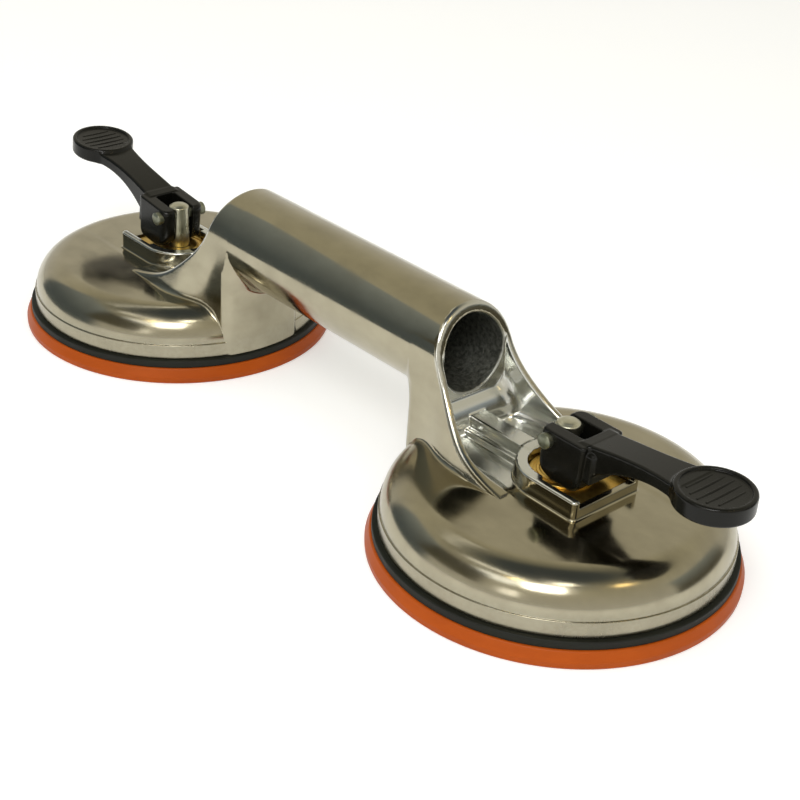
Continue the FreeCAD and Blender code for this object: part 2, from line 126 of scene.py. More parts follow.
def common(a: Array, b: Array, rounding: float | Array) -> Array:
    """Intersect two distance fields, with the edge between them rounded.

    Args:
        a: Distance to the first form, negative inside.
        b: Distance to the second form, negative inside.
        rounding: Radius of the edge.

    Returns:
        The distance to what both forms share.
    """
    return -join(-a, -b, rounding)


def ease(value: Array, low: float, high: float) -> Array:
    """Return 0 up to low and 1 from high, with a smooth rise between them."""
    t = np.clip((value - low) / (high - low), 0, 1)
    return t * t * (3 - 2 * t)


def spline(points: Profile, samples: int = 400) -> tuple[Array, Array]:
    """Sample the natural cubic spline through some points.

    Args:
        points: The (x, value) points, in order of x.
        samples: How many samples to return.

    Returns:
        The samples' x and their values.
    """
    x, y = (np.array(column, float) for column in zip(*points))
    h = np.diff(x)
    n = len(x)
    system = np.eye(n)
    right = np.zeros(n)
    for i in range(1, n - 1):
        system[i, i - 1:i + 2] = h[i - 1], 2 * (h[i - 1] + h[i]), h[i]
        right[i] = 6 * ((y[i + 1] - y[i]) / h[i] - (y[i] - y[i - 1]) / h[i - 1])
    bend = np.linalg.solve(system, right)
    at = np.linspace(x[0], x[-1], samples)
    i = np.clip(np.searchsorted(x, at) - 1, 0, n - 2)
    a, b = (x[i + 1] - at) / h[i], (at - x[i]) / h[i]
    value = a * y[i] + b * y[i + 1] + ((a**3 - a) * bend[i] + (b**3 - b) * bend[i + 1]) * h[i] ** 2 / 6
    return at, value


def circle_through(a: Pair, b: Pair, c: Pair) -> Triple:
    """Return the centre and radius (x, z, r) of the circle through three points."""
    lines = np.array([[b[0] - a[0], b[1] - a[1]], [c[0] - a[0], c[1] - a[1]]])
    sums = np.array([p[0] ** 2 - a[0] ** 2 + p[1] ** 2 - a[1] ** 2 for p in (b, c)])
    x, z = np.linalg.solve(lines, sums / 2)
    return x, z, math.hypot(x - a[0], z - a[1])


def gradient(field: Field, points: Array, reach: float = 0.02) -> Array:
    """Return the field's unit-free gradient at some points.

    Args:
        field: The distance field.
        points: The points, one in each row.
        reach: Step of the central differences.

    Returns:
        The gradient, one row for each point.
    """
    columns = []
    for axis in range(3):
        step = np.zeros(3)
        step[axis] = reach
        ahead, behind = (points + step).T, (points - step).T
        columns.append((field(*ahead) - field(*behind)) / (2 * reach))
    return np.stack(columns, axis=1)


def settle(field: Field, points: Array, rounds: int = 3, longest: float = 0.4) -> Array:
    """Move points onto the field's surface.

    Args:
        field: The distance field.
        points: The points, one in each row.
        rounds: How many Newton steps to take.
        longest: The longest step.

    Returns:
        The moved points.
    """
    for _ in range(rounds):
        slope = gradient(field, points)
        value = field(*points.T)
        step = slope * (value / np.maximum((slope**2).sum(1), 0.05))[:, None]
        length = np.linalg.norm(step, axis=1, keepdims=True)
        points = points - step * np.minimum(1, longest / np.maximum(length, 1e-9))
    return points


def net(axes: list[Array], values: Array) -> tuple[Array, Array]:
    """Draw the zero surface of sampled values as a net of quads.

    Args:
        axes: The grid's coordinates along X, Y and Z.
        values: The field at the grid's points.

    Returns:
        The corners and the quads, whose faces point to where the field is positive.
    """
    shape = np.array(values.shape) - 1
    total = int(shape.prod())
    sums = np.zeros((3, total))
    count = np.zeros(total)
    strides = np.array([shape[1] * shape[2], shape[2], 1])
    quads = []
    for axis in range(3):
        ahead = np.moveaxis(values, axis, 0)
        first, second = ahead[:-1], ahead[1:]
        found = np.argwhere((first < 0) != (second < 0))
        v0, v1 = first[tuple(found.T)], second[tuple(found.T)]
        cell = np.empty_like(found)
        order = [axis] + [i for i in range(3) if i != axis]
        cell[:, order] = found
        place = np.stack([axes[i][cell[:, i]] for i in range(3)], axis=1)
        place[:, axis] += np.diff(axes[axis])[found[:, 0]] * v0 / (v0 - v1)
        b, c = (axis + 1) % 3, (axis + 2) % 3
        corners = []
        for back_b, back_c in ((1, 1), (0, 1), (0, 0), (1, 0)):
            near = cell.copy()
            near[:, b] -= back_b
            near[:, c] -= back_c
            index = near @ strides
            corners.append(index)
            count += np.bincount(index, minlength=total)
            for i in range(3):
                sums[i] += np.bincount(index, weights=place[:, i], minlength=total)
        quad = np.stack(corners, axis=1)
        quads.append(np.where((v0 < 0)[:, None], quad, quad[:, ::-1]))
    used = np.flatnonzero(count)
    number = np.full(total, -1)
    number[used] = np.arange(len(used))
    return (sums[:, used] / count[used]).T, number[np.concatenate(quads)]


def grid_axis(low: float, high: float, step: float, even: bool) -> Array:
    """Return one axis of a grid; an even one is the half above 0, with its first point half a step up."""
    if even:
        return (np.arange(math.ceil(high / step) + 1) + 0.5) * step
    return np.arange(low, high + step, step)


def refined(axis: Array, spans: tuple[Triple, ...]) -> Array:
    """Return an axis with smaller steps in some spans, each given by its ends and its step."""
    for low, high, step in spans:
        axis = np.concatenate([axis[axis < low - step / 2], np.arange(low, high, step), axis[axis > high]])
    return axis


def placed(name: str, data: bpy.types.ID) -> Object:
    """Return a new object that shows some data, linked to the scene."""
    item = bpy.data.objects.new(name, data)
    bpy.context.scene.collection.objects.link(item)
    return item


def direction(azimuth: float, elevation: float) -> Vector:
    """Return the unit vector towards a place given in degrees, with azimuth 0 along -Y."""
    a, e = math.radians(azimuth), math.radians(elevation)
    return Vector((math.sin(a) * math.cos(e), -math.cos(a) * math.cos(e), math.sin(e)))


def new_mesh(name: str, points: Array, faces: Array | list, normals: Array | None = None) -> Object:
    """Make a smooth mesh object from points in millimetres.

    Args:
        name: The object's name.
        points: The corners, one in each row, in millimetres.
        faces: The corners' numbers of each face.
        normals: The corners' normals, where they are known exactly.

    Returns:
        The object, linked to the scene.
    """
    mesh = bpy.data.meshes.new(name)
    mesh.from_pydata((np.asarray(points) * MM).tolist(), [], [list(map(int, f)) for f in faces])
    mesh.update()
    mesh.shade_smooth()
    if normals is not None:
        mesh.normals_split_custom_set_from_vertices(normals.tolist())
    return placed(name, mesh)


def evaluated(piece: Object) -> Mesh:
    """Return a plain copy of a piece's mesh with its modifiers applied, and remove them."""
    bpy.context.view_layer.update()
    shape = piece.evaluated_get(bpy.context.evaluated_depsgraph_get())
    mesh = bpy.data.meshes.new_from_object(shape)
    piece.modifiers.clear()
    return mesh


@dataclass
class Form:
    """A smooth form given by a distance field inside a box.

    Attributes:
        name: Name of the piece.
        field: The distance field in millimetres.
        low: Lowest corner of the box.
        high: Highest corner of the box.
        step: Size of the net's meshes.
        even: Whether the field is the same on both sides of X 0, Y 0 and Z 0.
        share: Share of the triangles to keep.
        fine: Spans of Z with a smaller step, as (low, high, step).
    """

    name: str
    field: Field
    low: Triple
    high: Triple
    step: float
    even: tuple[bool, bool, bool] = (False, True, False)
    share: float = 1.0
    fine: tuple[Triple, ...] = ()

    def surface(self) -> tuple[Array, Array]:
        """Return the net's points and faces, settled onto the surface."""
        axes = [grid_axis(*spec, self.step, even) for *spec, even in zip(self.low, self.high, self.even)]
        axes[2] = refined(axes[2], self.fine)
        values = self.field(*np.meshgrid(*axes, indexing="ij"))
        for i in range(3):
            if self.even[i]:
                values = np.concatenate([np.flip(values, i), values], axis=i)
                axes[i] = np.concatenate([-axes[i][::-1], axes[i]])
        points, faces = net(axes, values)
        points = settle(self.field, points)
        if self.share < 1:
            points, faces = self.thinned(points, faces)
            points = settle(self.field, points, rounds=2)
        return points, faces

    def thinned(self, points: Array, faces: Array) -> tuple[Array, Array]:
        """Return the net with fewer triangles where the surface is plain."""
        draft = new_mesh(self.name, points, faces)
        modifier = draft.modifiers.new("fewer", "DECIMATE")
        modifier.ratio = self.share
        mesh = evaluated(draft)
        flat = np.empty(len(mesh.vertices) * 3)
        mesh.vertices.foreach_get("co", flat)
        fewer = [tuple(p.vertices) for p in mesh.polygons]
        bpy.data.objects.remove(draft)
        bpy.data.meshes.remove(mesh)
        return flat.reshape(-1, 3) / MM, fewer

    def normals(self, points: Array) -> Array:
        """Return the surface's exact unit normals at its points."""
        slope = gradient(self.field, points)
        return slope / np.maximum(np.linalg.norm(slope, axis=1, keepdims=True), 1e-9)


@dataclass(frozen=True)
class Corner:
    """A corner of a turned part's outline, with its rounding radius."""

    r: float
    z: float
    rounding: float = 0.0


def rounded(corners: list[Corner], steps: int = 5) -> tuple[Array, Array]:
    """Round the corners of a closed outline.

    Args:
        corners: The corners, counter-clockwise with r to the right and z up.
        steps: Faces along each rounded corner.

    Returns:
        The outline's points and their outward normals, as (r, z) rows. A sharp corner has two
        points at one place.
    """
    points, normals = [], []
    for before, here, after in zip(corners[-1:] + corners[:-1], corners, corners[1:] + corners[:1]):
        p = np.array([here.r, here.z])
        back = np.array([before.r, before.z]) - p
        ahead = np.array([after.r, after.z]) - p
        back, ahead = back / np.linalg.norm(back), ahead / np.linalg.norm(ahead)
        n0, n1 = np.array([-back[1], back[0]]), np.array([ahead[1], -ahead[0]])
        turn = math.acos(float(np.clip(n0 @ n1, -1, 1)))
        if here.rounding == 0 or turn < 0.01:
            places, facings = [p, p], [n0, n1]
        else:
            cut = here.rounding * math.tan(turn / 2)
            convex = 1 if (n0[0] * n1[1] - n0[1] * n1[0]) > 0 else -1
            centre = p + back * cut - convex * n0 * here.rounding
            shares = np.linspace(0, 1, steps + 1)
            facings = [math.sin((1 - s) * turn) * n0 + math.sin(s * turn) * n1 for s in shares]
            facings = [n / np.linalg.norm(n) for n in facings]
            places = [centre + convex * here.rounding * n for n in facings]
        points += places
        normals += facings
    return np.array(points), np.array(normals)


def turned(name: str, corners: list[Corner], centre: Triple, axis: str = "Z",
           segments: int = 128) -> Object:
    """Turn a closed outline about an axis.

    Args:
        name: Name of the piece.
        corners: The outline, with its corners' roundings.
        centre: A point of the axis, in millimetres.
        axis: "Z" for an upright axis, "Y" for one across the handle.
        segments: Faces round the axis.

    Returns:
        The piece.
    """
    outline, facing = rounded(corners)
    angle = np.arange(segments) * 2 * math.pi / segments
    spin = np.stack([np.cos(angle), np.sin(angle)], axis=1)
    count = len(outline)
    points = np.concatenate([np.repeat(outline[:, :1], segments, 0) * np.tile(spin, (count, 1)),
                             np.repeat(outline[:, 1:], segments, 0)], axis=1)
    normals = np.concatenate([np.repeat(facing[:, :1], segments, 0) * np.tile(spin, (count, 1)),
                              np.repeat(facing[:, 1:], segments, 0)], axis=1)
    faces = []
    for i in range(count):
        k = (i + 1) % count
        if np.allclose(outline[i], outline[k]) or max(outline[i][0], outline[k][0]) < 1e-6:
            continue
        for j in range(segments):
            m = (j + 1) % segments
            faces.append([i * segments + j, i * segments + m, k * segments + m, k * segments + j])
    if axis == "Y":
        points, normals = points[:, [1, 2, 0]], normals[:, [1, 2, 0]]
    piece = new_mesh(name, points + np.array(centre), faces)
    return welded(piece, normals)


def welded(piece: Object, normals: Array) -> Object:
    """Close the seams and poles of a turned piece, and give its corners exact normals.

    Args:
        piece: The piece.
        normals: The normal of each of its points.

    Returns:
        The same piece.
    """
    edit = bmesh.new()
    edit.from_mesh(piece.data)
    edit.verts.ensure_lookup_table()
    layer = edit.loops.layers.float_vector.new("exact")
    for face in edit.faces:
        for loop in face.loops:
            loop[layer] = Vector(normals[loop.vert.index])
    bmesh.ops.remove_doubles(edit, verts=edit.verts, dist=1e-7)
    bmesh.ops.dissolve_degenerate(edit, edges=edit.edges, dist=1e-8)
    bmesh.ops.delete(edit, geom=[v for v in edit.verts if not v.link_faces], context="VERTS")
    edit.to_mesh(piece.data)
    edit.free()
    exact = piece.data.attributes["exact"]
    values = [tuple(item.vector) for item in exact.data]
    piece.data.attributes.remove(exact)
    piece.data.normals_split_custom_set(values)
    return piece


def linear(code: str) -> tuple[float, float, float, float]:
    """Return the linear colour of an sRGB hex code."""
    parts = [int(code[i:i + 2], 16) / 255 for i in (1, 3, 5)]
    return (*[p / 12.92 if p <= 0.04045 else ((p + 0.055) / 1.055) ** 2.4 for p in parts], 1.0)


def add_node(tree: Tree, kind: str, settings: dict | None = None,
             inputs: dict | tuple = ()) -> Node:
    """Add a node with its settings and what goes into it.

    Args:
        tree: The node tree.
        kind: The node's type.
        settings: Its properties, by name.
        inputs: A value or an output socket for each input, by name or number, or in order.

    Returns:
        The node.
    """
    node = tree.nodes.new(kind)
    for name, value in (settings or {}).items():
        setattr(node, name, value)
    for key, value in inputs.items() if isinstance(inputs, dict) else enumerate(inputs):
        if isinstance(value, Socket):
            tree.links.new(value, node.inputs[key])
        else:
            node.inputs[key].default_value = value
    return node


def noise(tree: Tree, size: Triple, detail: float) -> Socket:
    """Add a noise pattern in object space.

    Args:
        tree: The material's node tree.
        size: Size of the pattern along X, Y and Z in millimetres.
        detail: Number of finer layers.

    Returns:
        The pattern's socket.
    """
    place = add_node(tree, "ShaderNodeTexCoord").outputs["Object"]
    scale = tuple(1 / (s * MM) for s in size)
    mapped = add_node(tree, "ShaderNodeMapping", {}, {"Vector": place, "Scale": scale})
    pattern = add_node(tree, "ShaderNodeTexNoise", {},
                       {"Vector": mapped.outputs["Vector"], "Scale": 1.0, "Detail": detail,
                        "Roughness": 0.55})
    return pattern.outputs["Fac"]


def blank_material(name: str) -> tuple[Material, Tree, Node]:
    """Return a new material, its tree and its principled shader."""
    material = bpy.data.materials.new(name)
    material.use_nodes = True
    tree = material.node_tree
    return material, tree, tree.nodes["Principled BSDF"]


# A Mix node's setting for colours; its inputs are then 0 for the factor, 6 and 7, and its output is 2
COLOURS = {"data_type": "RGBA"}


@dataclass(frozen=True)
class DieCastAluminium:
    """Die-cast aluminium: buffed outside and left as cast in the bore, with a paler colour painted on as
    highlight in the scoops, on the bosses' rims and along the lips' outer edges.

    The buffed skin mirrors the room softly, with cloudy handling marks and faint streaks along the
    handle; where the highlight is painted the colour is paler and scatters more; the cast skin is dull grey
    with fine pits.
    """

    name: str = "aluminium_die_cast_buffed"
    bright: str = "#AEA791"
    # Paler colour painted on as highlight in the scoops, on the bosses' rims and along the lips' outer edges
    cloudy: str = "#A29B86"
    blasted: str = "#D6D7D2"
    raw: str = "#8E9089"
    pit_colour: str = "#5C5E58"
    buffed_roughness: Pair = (0.09, 0.2)
    blasted_roughness: float = 0.2
    raw_roughness: float = 0.6
    streak_mm: Triple = (60.0, 0.7, 0.7)
    cloud_mm: Triple = (14.0, 9.0, 9.0)
    pit_mm: Triple = (1.3, 1.3, 1.3)
    cloud_span: Pair = (0.35, 0.7)
    shine_span: Pair = (0.35, 0.75)
    pit_span: Pair = (0.35, 0.65)
    cast_span: Pair = (0.1, 1.0)
    relief_span: Pair = (0.2, 1.0)
    pit_strength: float = 0.6
    pit_depth: float = 0.5
    streak_strength: float = 0.03
    streak_height: float = 0.1

    def build(self) -> Material:
        """Return the material."""
        material, tree, shader = blank_material(self.name)
        raw = add_node(tree, "ShaderNodeAttribute", {"attribute_name": "as_cast"}).outputs["Fac"]
        silver = add_node(tree, "ShaderNodeAttribute", {"attribute_name": "silver"}).outputs["Fac"]
        cloud = noise(tree, self.cloud_mm, 4.0)
        streak = noise(tree, self.streak_mm, 2.0)
        pit = noise(tree, self.pit_mm, 5.0)
        spans = ((cloud, *self.cloud_span), (pit, *self.pit_span), (raw, *self.cast_span),
                 (cloud, *self.shine_span, *self.buffed_roughness),
                 (raw, *self.relief_span, 0, self.pit_strength))
        clouds, pits, cast, shine, relief = (
            add_node(tree, RANGE, {}, span).outputs["Result"] for span in spans)
        pale, dark, blasted, bare, hollow = (
            linear(code) for code in (self.bright, self.cloudy, self.blasted, self.raw, self.pit_colour))
        buffed = add_node(tree, MIX, COLOURS, {0: clouds, 6: pale, 7: dark}).outputs[2]
        # Paler colour painted on as highlight in the scoops, on the bosses' rims and along the lips' outer
        # edges
        highlighted = add_node(tree, MIX, COLOURS, {0: silver, 6: buffed, 7: blasted}).outputs[2]
        skin = add_node(tree, MIX, COLOURS, {0: pits, 6: hollow, 7: bare}).outputs[2]
        colour = add_node(tree, MIX, COLOURS, {0: cast, 6: highlighted, 7: skin}).outputs[2]
        tree.links.new(colour, shader.inputs["Base Color"])
        shader.inputs["Metallic"].default_value = 1.0
        rough = add_node(tree, MIX, {}, {0: silver, 2: shine, 3: self.blasted_roughness}).outputs[0]
        rough = add_node(tree, MIX, {}, {0: raw, 2: rough, 3: self.raw_roughness}).outputs[0]
        tree.links.new(rough, shader.inputs["Roughness"])
        fine = add_node(tree, BUMP, {},
                        {"Strength": self.streak_strength, "Distance": self.streak_height * MM,
                         "Height": streak})
        bumps = add_node(tree, BUMP, {},
                         {"Strength": relief, "Distance": self.pit_depth * MM, "Height": pit,
                          "Normal": fine.outputs["Normal"]})
        tree.links.new(bumps.outputs["Normal"], shader.inputs["Normal"])
        return material


@dataclass(frozen=True)
class PlainFinish:
    """A finish of two close tones with a roughness range and a fine relief.

    Attributes:
        name: Real material and process.
        light: Lighter tone.
        dark: Darker tone.
        metallic: 1 for a metal.
        roughness: Lowest and highest roughness.
        tone_mm: Size of the tone's clouds.
        relief_mm: Size of the relief.
        relief_height: Height of the relief in millimetres.
        shine: Specular level, 0.5 for common plastics.
        tone_span: Part of the noise over which the dark tone turns to the light one.
        shine_span: Part of the noise over which the roughness rises.
        relief_strength: How strongly the relief shows.
    """

    name: str
    light: str
    dark: str
    metallic: float
    roughness: Pair
    tone_mm: Triple
    relief_mm: Triple
    relief_height: float
    shine: float = 0.5
    tone_span: Pair = (0.35, 0.65)
    shine_span: Pair = (0.3, 0.7)
    relief_strength: float = 0.4

    def build(self) -> Material:
        """Return the material."""
        material, tree, shader = blank_material(self.name)
        tone = noise(tree, self.tone_mm, 4.0)
        relief = noise(tree, self.relief_mm, 3.0)
        spans = ((tone, *self.tone_span), (tone, *self.shine_span, *self.roughness))
        tones, shine = (add_node(tree, RANGE, {}, span).outputs["Result"] for span in spans)
        colour = add_node(tree, MIX, COLOURS, {0: tones, 6: linear(self.dark), 7: linear(self.light)})
        tree.links.new(colour.outputs[2], shader.inputs["Base Color"])
        shader.inputs["Metallic"].default_value = self.metallic
        shader.inputs["Specular IOR Level"].default_value = self.shine
        tree.links.new(shine, shader.inputs["Roughness"])
        bump = add_node(tree, BUMP, {},
                        {"Strength": self.relief_strength, "Distance": self.relief_height * MM,
                         "Height": relief})
        tree.links.new(bump.outputs["Normal"], shader.inputs["Normal"])
        return material


# Moulded rubber: an even warm orange with a soft sheen and a faint skin from the mould
ORANGE_RUBBER = PlainFinish("rubber_moulded_orange", "#B14F0C", "#A64808", 0.0, (0.36, 0.5),
                            (18.0, 18.0, 6.0), (0.9, 0.9, 0.9), 0.05, 0.2)
# Moulded black rubber: nearly no sheen, greyish where it is dusty
BLACK_RUBBER = PlainFinish("rubber_moulded_black", "#1B1E17", "#12140F", 0.0, (0.45, 0.65),
                           (9.0, 9.0, 3.0), (0.8, 0.8, 0.8), 0.05, 0.25)
# Powder coat on the cast lever: satin black with a fine orange-peel grain
BLACK_COAT = PlainFinish("zinc_die_cast_powder_coated_black", "#12120E", "#0D0D0A", 0.0, (0.2, 0.28),
                         (10.0, 10.0, 10.0), (0.8, 0.8, 0.8), 0.02, 0.24)
# Ground steel, dull with turning marks on its end
GROUND_STEEL = PlainFinish("steel_ground", "#9C9E8D", "#7C7F6D", 1.0, (0.34, 0.48),
                           (2.5, 2.5, 2.5), (0.5, 3.0, 0.5), 0.03)
# Bright zinc plating: pale grey with cloudy passivation
ZINC_STEEL = PlainFinish("steel_zinc_plated", "#CFCDB9", "#B3B19B", 1.0, (0.26, 0.38),
                         (5.0, 5.0, 5.0), (0.8, 0.8, 0.8), 0.03)
# Yellow passivated zinc: gold with greenish and reddish clouds
YELLOW_ZINC = PlainFinish("steel_zinc_plated_yellow", "#EDCC76", "#D8AE54", 1.0, (0.3, 0.42),
                          (4.0, 4.0, 4.0), (0.7, 0.7, 0.7), 0.03)
# Turned brass: warm yellow with fine rings
TURNED_BRASS = PlainFinish("brass_turned", "#C7A15A", "#AC8442", 1.0, (0.2, 0.36),
                           (3.0, 3.0, 3.0), (4.0, 4.0, 0.3), 0.03)
# Drawn spring wire: dark oiled steel
SPRING_WIRE = PlainFinish("spring_steel_drawn", "#77776F", "#55554F", 1.0, (0.3, 0.45),
                          (3.0, 3.0, 3.0), (0.6, 0.6, 0.6), 0.02)


def finish_piece(piece: Object, material: Material, body: str,
                 replaced: tuple[str, ...] = ()) -> Object:
    """Dress a piece, and say which body it rides on and which nodes it stands for.

    Args:
        piece: The piece, in place.
        material: Its finish.
        body: The body that it moves with.
        replaced: The CAD nodes that it stands for.

    Returns:
        The same piece.
    """
    piece.data.materials.clear()
    piece.data.materials.append(material)
    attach(piece, body)
    if replaced:
        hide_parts(*replaced)
    LOG.info("%s: %d faces, rides on %s", piece.name, len(piece.data.polygons), body)
    return piece


def dress_node(node: str, material: Material) -> None:
    """Give a CAD node that stays in view its finish."""
    for place in frame["nodes"][node].material_slots:
        place.material = material
    LOG.info("%s: dressed in %s", node, material.name)


@dataclass(frozen=True)
class Casting:
    """The one-piece aluminium casting: tube handle, scoop-shaped legs, domes and bosses."""

    cup_x: float = 103.7
    tube_r: float = 16.8
    tube_z: float = 51.7
    bore_r: float = 14.0
    rim_z: float = 8.3
    wall_r: float = 55.8
    bead_r: float = 56.3
    bead_z: float = 13.85
    crown_z: float = 26.6
    crown_slope: float = 0.0183
    shoulder_r: float = 12.0
    leg_r: float = 57.0
    flare: float = 0.27
    flare_centre: float = -37.5
    flare_reach: float = 9.5
    leg_fillet: float = 7.0
    leg_edge: float = 3.0
    mouth_u: float = -42.6
    floor_z: float = 26.4
    floor_corner: float = 5.0
    ledge: tuple[Pair, ...] = ((-42.6, 37.7), (-38.0, 33.3), (-37.4, 26.4))
    lip: tuple[Pair, ...] = ((-47.0, 71.0), (-44.3, 62.5), (-42.3, 56.0), (-39.7, 50.4),
                                            (-33.7, 42.2), (-23.7, 33.2), (-11.7, 28.3), (2.6, 25.6))
    lip_edge: float = 1.4
    # Strength of the painted highlight along the lip's outer edge
    edge_shine: float = 0.8
    crest: Pair = (3.8, 32.4)
    foot: Pair = (6.2, 28.4)
    rib_ends: Pair = (-39.8, -12.0)
    boss_r: float = 15.0
    boss_front: float = 18.6
    boss_top: float = 32.5
    boss_wall: float = 2.5
    hole_r: float = 11.0
    pocket_z: float = 27.7
    notch_z: float = 29.8
    pocket_back: float = 2.0
    cavity_r: float = 52.6
    roof_z: float = 22.6
    cavity_corner: float = 8.8
    hub_r: float = 9.0
    hub_z: float = 20.4
    bush_r: float = 6.0
    flange_r: float = 7.4
    flange_top: float = 21.6
    core: tuple[float, float, float, float] = (-49.5, -43.0, 13.0, 32.0)
    tube_bore_r: float = 13.1
    leg_end: float = -3.0
    step: float = 0.7
    quick_step: float = 1.4
    share: float = 0.6
    fine: tuple[Triple, ...] = ((8.0, 8.8, 0.2), (13.2, 14.4, 0.2))
    # Roundings of edges and corners; the smallest keep an edge sharp
    sharp: float = 0.02
    rim_edge: float = 0.3
    bead_fillet: float = 0.2
    ledge_edge: float = 2.0
    mouth_edge: float = 0.5
    bore_fillet: float = 0.4
    rib_edges: Pair = (0.9, 0.8)
    rib_fillet: float = 0.8
    boss_corner: float = 1.6
    boss_edge: float = 0.7
    pocket_corner: float = 0.8
    pocket_fillet: float = 0.5
    pocket_edge: float = 0.3
    hub_edge: float = 0.4
    dome_fillet: float = 1.3
    scoop_edge: float = 1.0
    floor_fillet: float = 0.7
    boss_fillet: float = 0.8
    hole_edge: float = 0.4
    # Where a fillet, the cast skin or the painted highlight fades, as (start, end)
    fillet_fade: Pair = (-24.0, -13.0)
    bore_fade: Pair = (13.2, 14.0)
    bore_end: Pair = (-43.0, -41.0)
    wall_fade: Pair = (54.6, 55.8)
    wall_top: Pair = (14.0, 20.0)
    shoulder_fade: Pair = (42.0, 50.0)
    shoulder_top: Pair = (27.0, 29.0)
    under_fade: Pair = (0.2, 0.7)
    wall_wear: float = 0.25
    shoulder_wear: float = 0.13
    scoop_fade: Pair = (0.3, 0.9)
    scoop_start: Pair = (-43.0, -42.0)
    scoop_end: Pair = (-8.0, -4.0)
    scoop_top: Pair = (62.0, 66.0)
    boss_fade: Pair = (15.2, 15.8)
    rim_fade: Pair = (0.1, 0.5)
    rim_start: Pair = (31.9, 32.3)
    rim_reach: Pair = (26.0, 27.0)
    edge_end: Pair = (-24.0, -12.0)

    def section(self, u: Array, v: Array, z: Array, radius: float) -> Array:
        """Return the distance to the leg's section: the tube's arc over sides that flare downwards."""
        share = 0.5 * (1 + np.tanh((u - self.flare_centre) / self.flare_reach))
        lean = np.arctan(self.flare * share)
        rise = z - self.tube_z
        side = v * np.cos(lean) + rise * np.sin(lean) - radius
        return np.where(np.arctan2(rise, v) > lean, np.hypot(v, rise) - radius, side)

    def lip_height(self, u: Array, z: Array) -> Array:
        """Return the distance above the lip, which sweeps down from the mouth to the crown."""
        at, height = spline(list(self.lip))
        slope = np.gradient(height, at)
        start = np.minimum(u - at[0], 0) * slope[0]
        return (z - np.interp(u, at, height) - start) / np.hypot(1, np.interp(u, at, slope))

    def dome(self, r: Array, z: Array) -> Array:
        """Return the distance to a dome with its parting bead and round shoulder."""
        crown = z - self.crown_z + self.crown_slope * r
        dome = common(r - self.wall_r, crown, self.shoulder_r)
        band = common(r - self.bead_r, z - self.bead_z, self.rim_edge)
        return common(join(dome, band, self.bead_fillet), self.rim_z - z, self.rim_edge)

    def leg(self, u: Array, v: Array, z: Array, r: Array) -> Array:
        """Return the distance to the leg and tube, cut along the lip.

        The leg's back edge and its fillet fade out towards the tube's middle, where its side runs into
        the tube.
        """
        below = np.maximum(self.tube_z - z, 0)
        fillet = self.sharp + self.leg_fillet * ease(below, 0.0, self.tube_r)
        root = join(r - self.leg_r, np.hypot(v, z - self.tube_z) - self.tube_r, fillet)
        edge = np.clip(below ** 2 / (2 * self.tube_r), self.sharp / 2, self.leg_edge)
        leg = common(self.section(u, v, z, self.tube_r), root, edge)
        leg = np.maximum(common(leg, self.rim_z - z, self.rim_edge), u - self.leg_end)
        return common(leg, self.lip_height(u, z), self.lip_edge)

    def scoop(self, u: Array, v: Array, z: Array) -> Array:
        """Return the distance to the bore and the open scoop in front of it."""
        (au, az), (bu, bz), (cu, cz) = self.ledge
        slope, front = math.hypot(bu - au, bz - az), math.hypot(cu - bu, cz - bz)
        above = ((u - au) * (az - bz) + (z - az) * (bu - au)) / slope
        ahead = ((u - bu) * (bz - cz) + (z - bz) * (cu - bu)) / front
        ledge = common(above, ahead, self.ledge_edge)
        low = common(-ledge, self.floor_z - z, self.ledge_edge)
        inner = common(self.section(u, v, z, self.bore_r), low, self.floor_corner)
        inner = common(inner, self.mouth_u + 0.6 - u, self.mouth_edge)
        return join(inner, np.hypot(v, z - self.tube_z) - self.tube_bore_r, self.bore_fillet)

    def rib(self, u: Array, v: Array, z: Array) -> Array:
        """Return the distance to the two-tier rib on the scoop's floor."""
        crest = common(v - self.crest[0], z - self.crest[1], self.rib_edges[0])
        foot = common(v - self.foot[0], z - self.foot[1], self.rib_edges[1])
        rib = join(crest, foot, self.rib_fillet)
        ends = np.maximum(self.rib_ends[0] - u, u - self.rib_ends[1])
        return np.maximum(np.maximum(rib, ends), self.roof_z + 1 - z)

    def boss(self, u: Array, v: Array, z: Array, r: Array) -> Array:
        """Return the distance to the boss, round behind and square in front."""
        square = common(v - self.boss_r, u - self.boss_front, self.boss_corner)
        plan = np.where(u < 0, r - self.boss_r, square)
        return np.maximum(common(plan, z - self.boss_top, self.boss_edge), self.roof_z + 1 - z)

    def pocket(self, u: Array, v: Array, z: Array, r: Array) -> Array:
        """Return the distance to the space in the boss, which is open to the front above its low wall."""
        half, back = self.boss_r - self.boss_wall, self.pocket_back - u
        front = u - self.boss_front + self.boss_wall
        square = np.maximum(common(v - half, front, self.pocket_corner), back)
        plan = join(r - self.hole_r, square, self.pocket_fillet)
        pocket = common(plan, self.pocket_z - z, self.pocket_edge)
        notch = np.maximum(common(v - half, self.notch_z - z, self.pocket_edge), back)
        return join(pocket, notch, self.pocket_edge)

    def hollow(self, u: Array, v: Array, z: Array, r: Array) -> Array:
        """Return the distance to the cored space under the dome and in the leg."""
        cavity = common(r - self.cavity_r, z - self.roof_z, self.cavity_corner)
        hub = common(r - self.hub_r, self.hub_z - z, self.hub_edge)
        start, end, half, top = self.core
        core = np.maximum(np.maximum(start - u, u - end), np.maximum(v - half, z - top))
        bush = np.maximum(r - self.bush_r, z - self.pocket_z - 1)
        flange = np.maximum(r - self.flange_r, z - self.flange_top)
        space = np.minimum(np.maximum(cavity, -hub), core)
        return np.minimum(space, np.minimum(bush, flange))

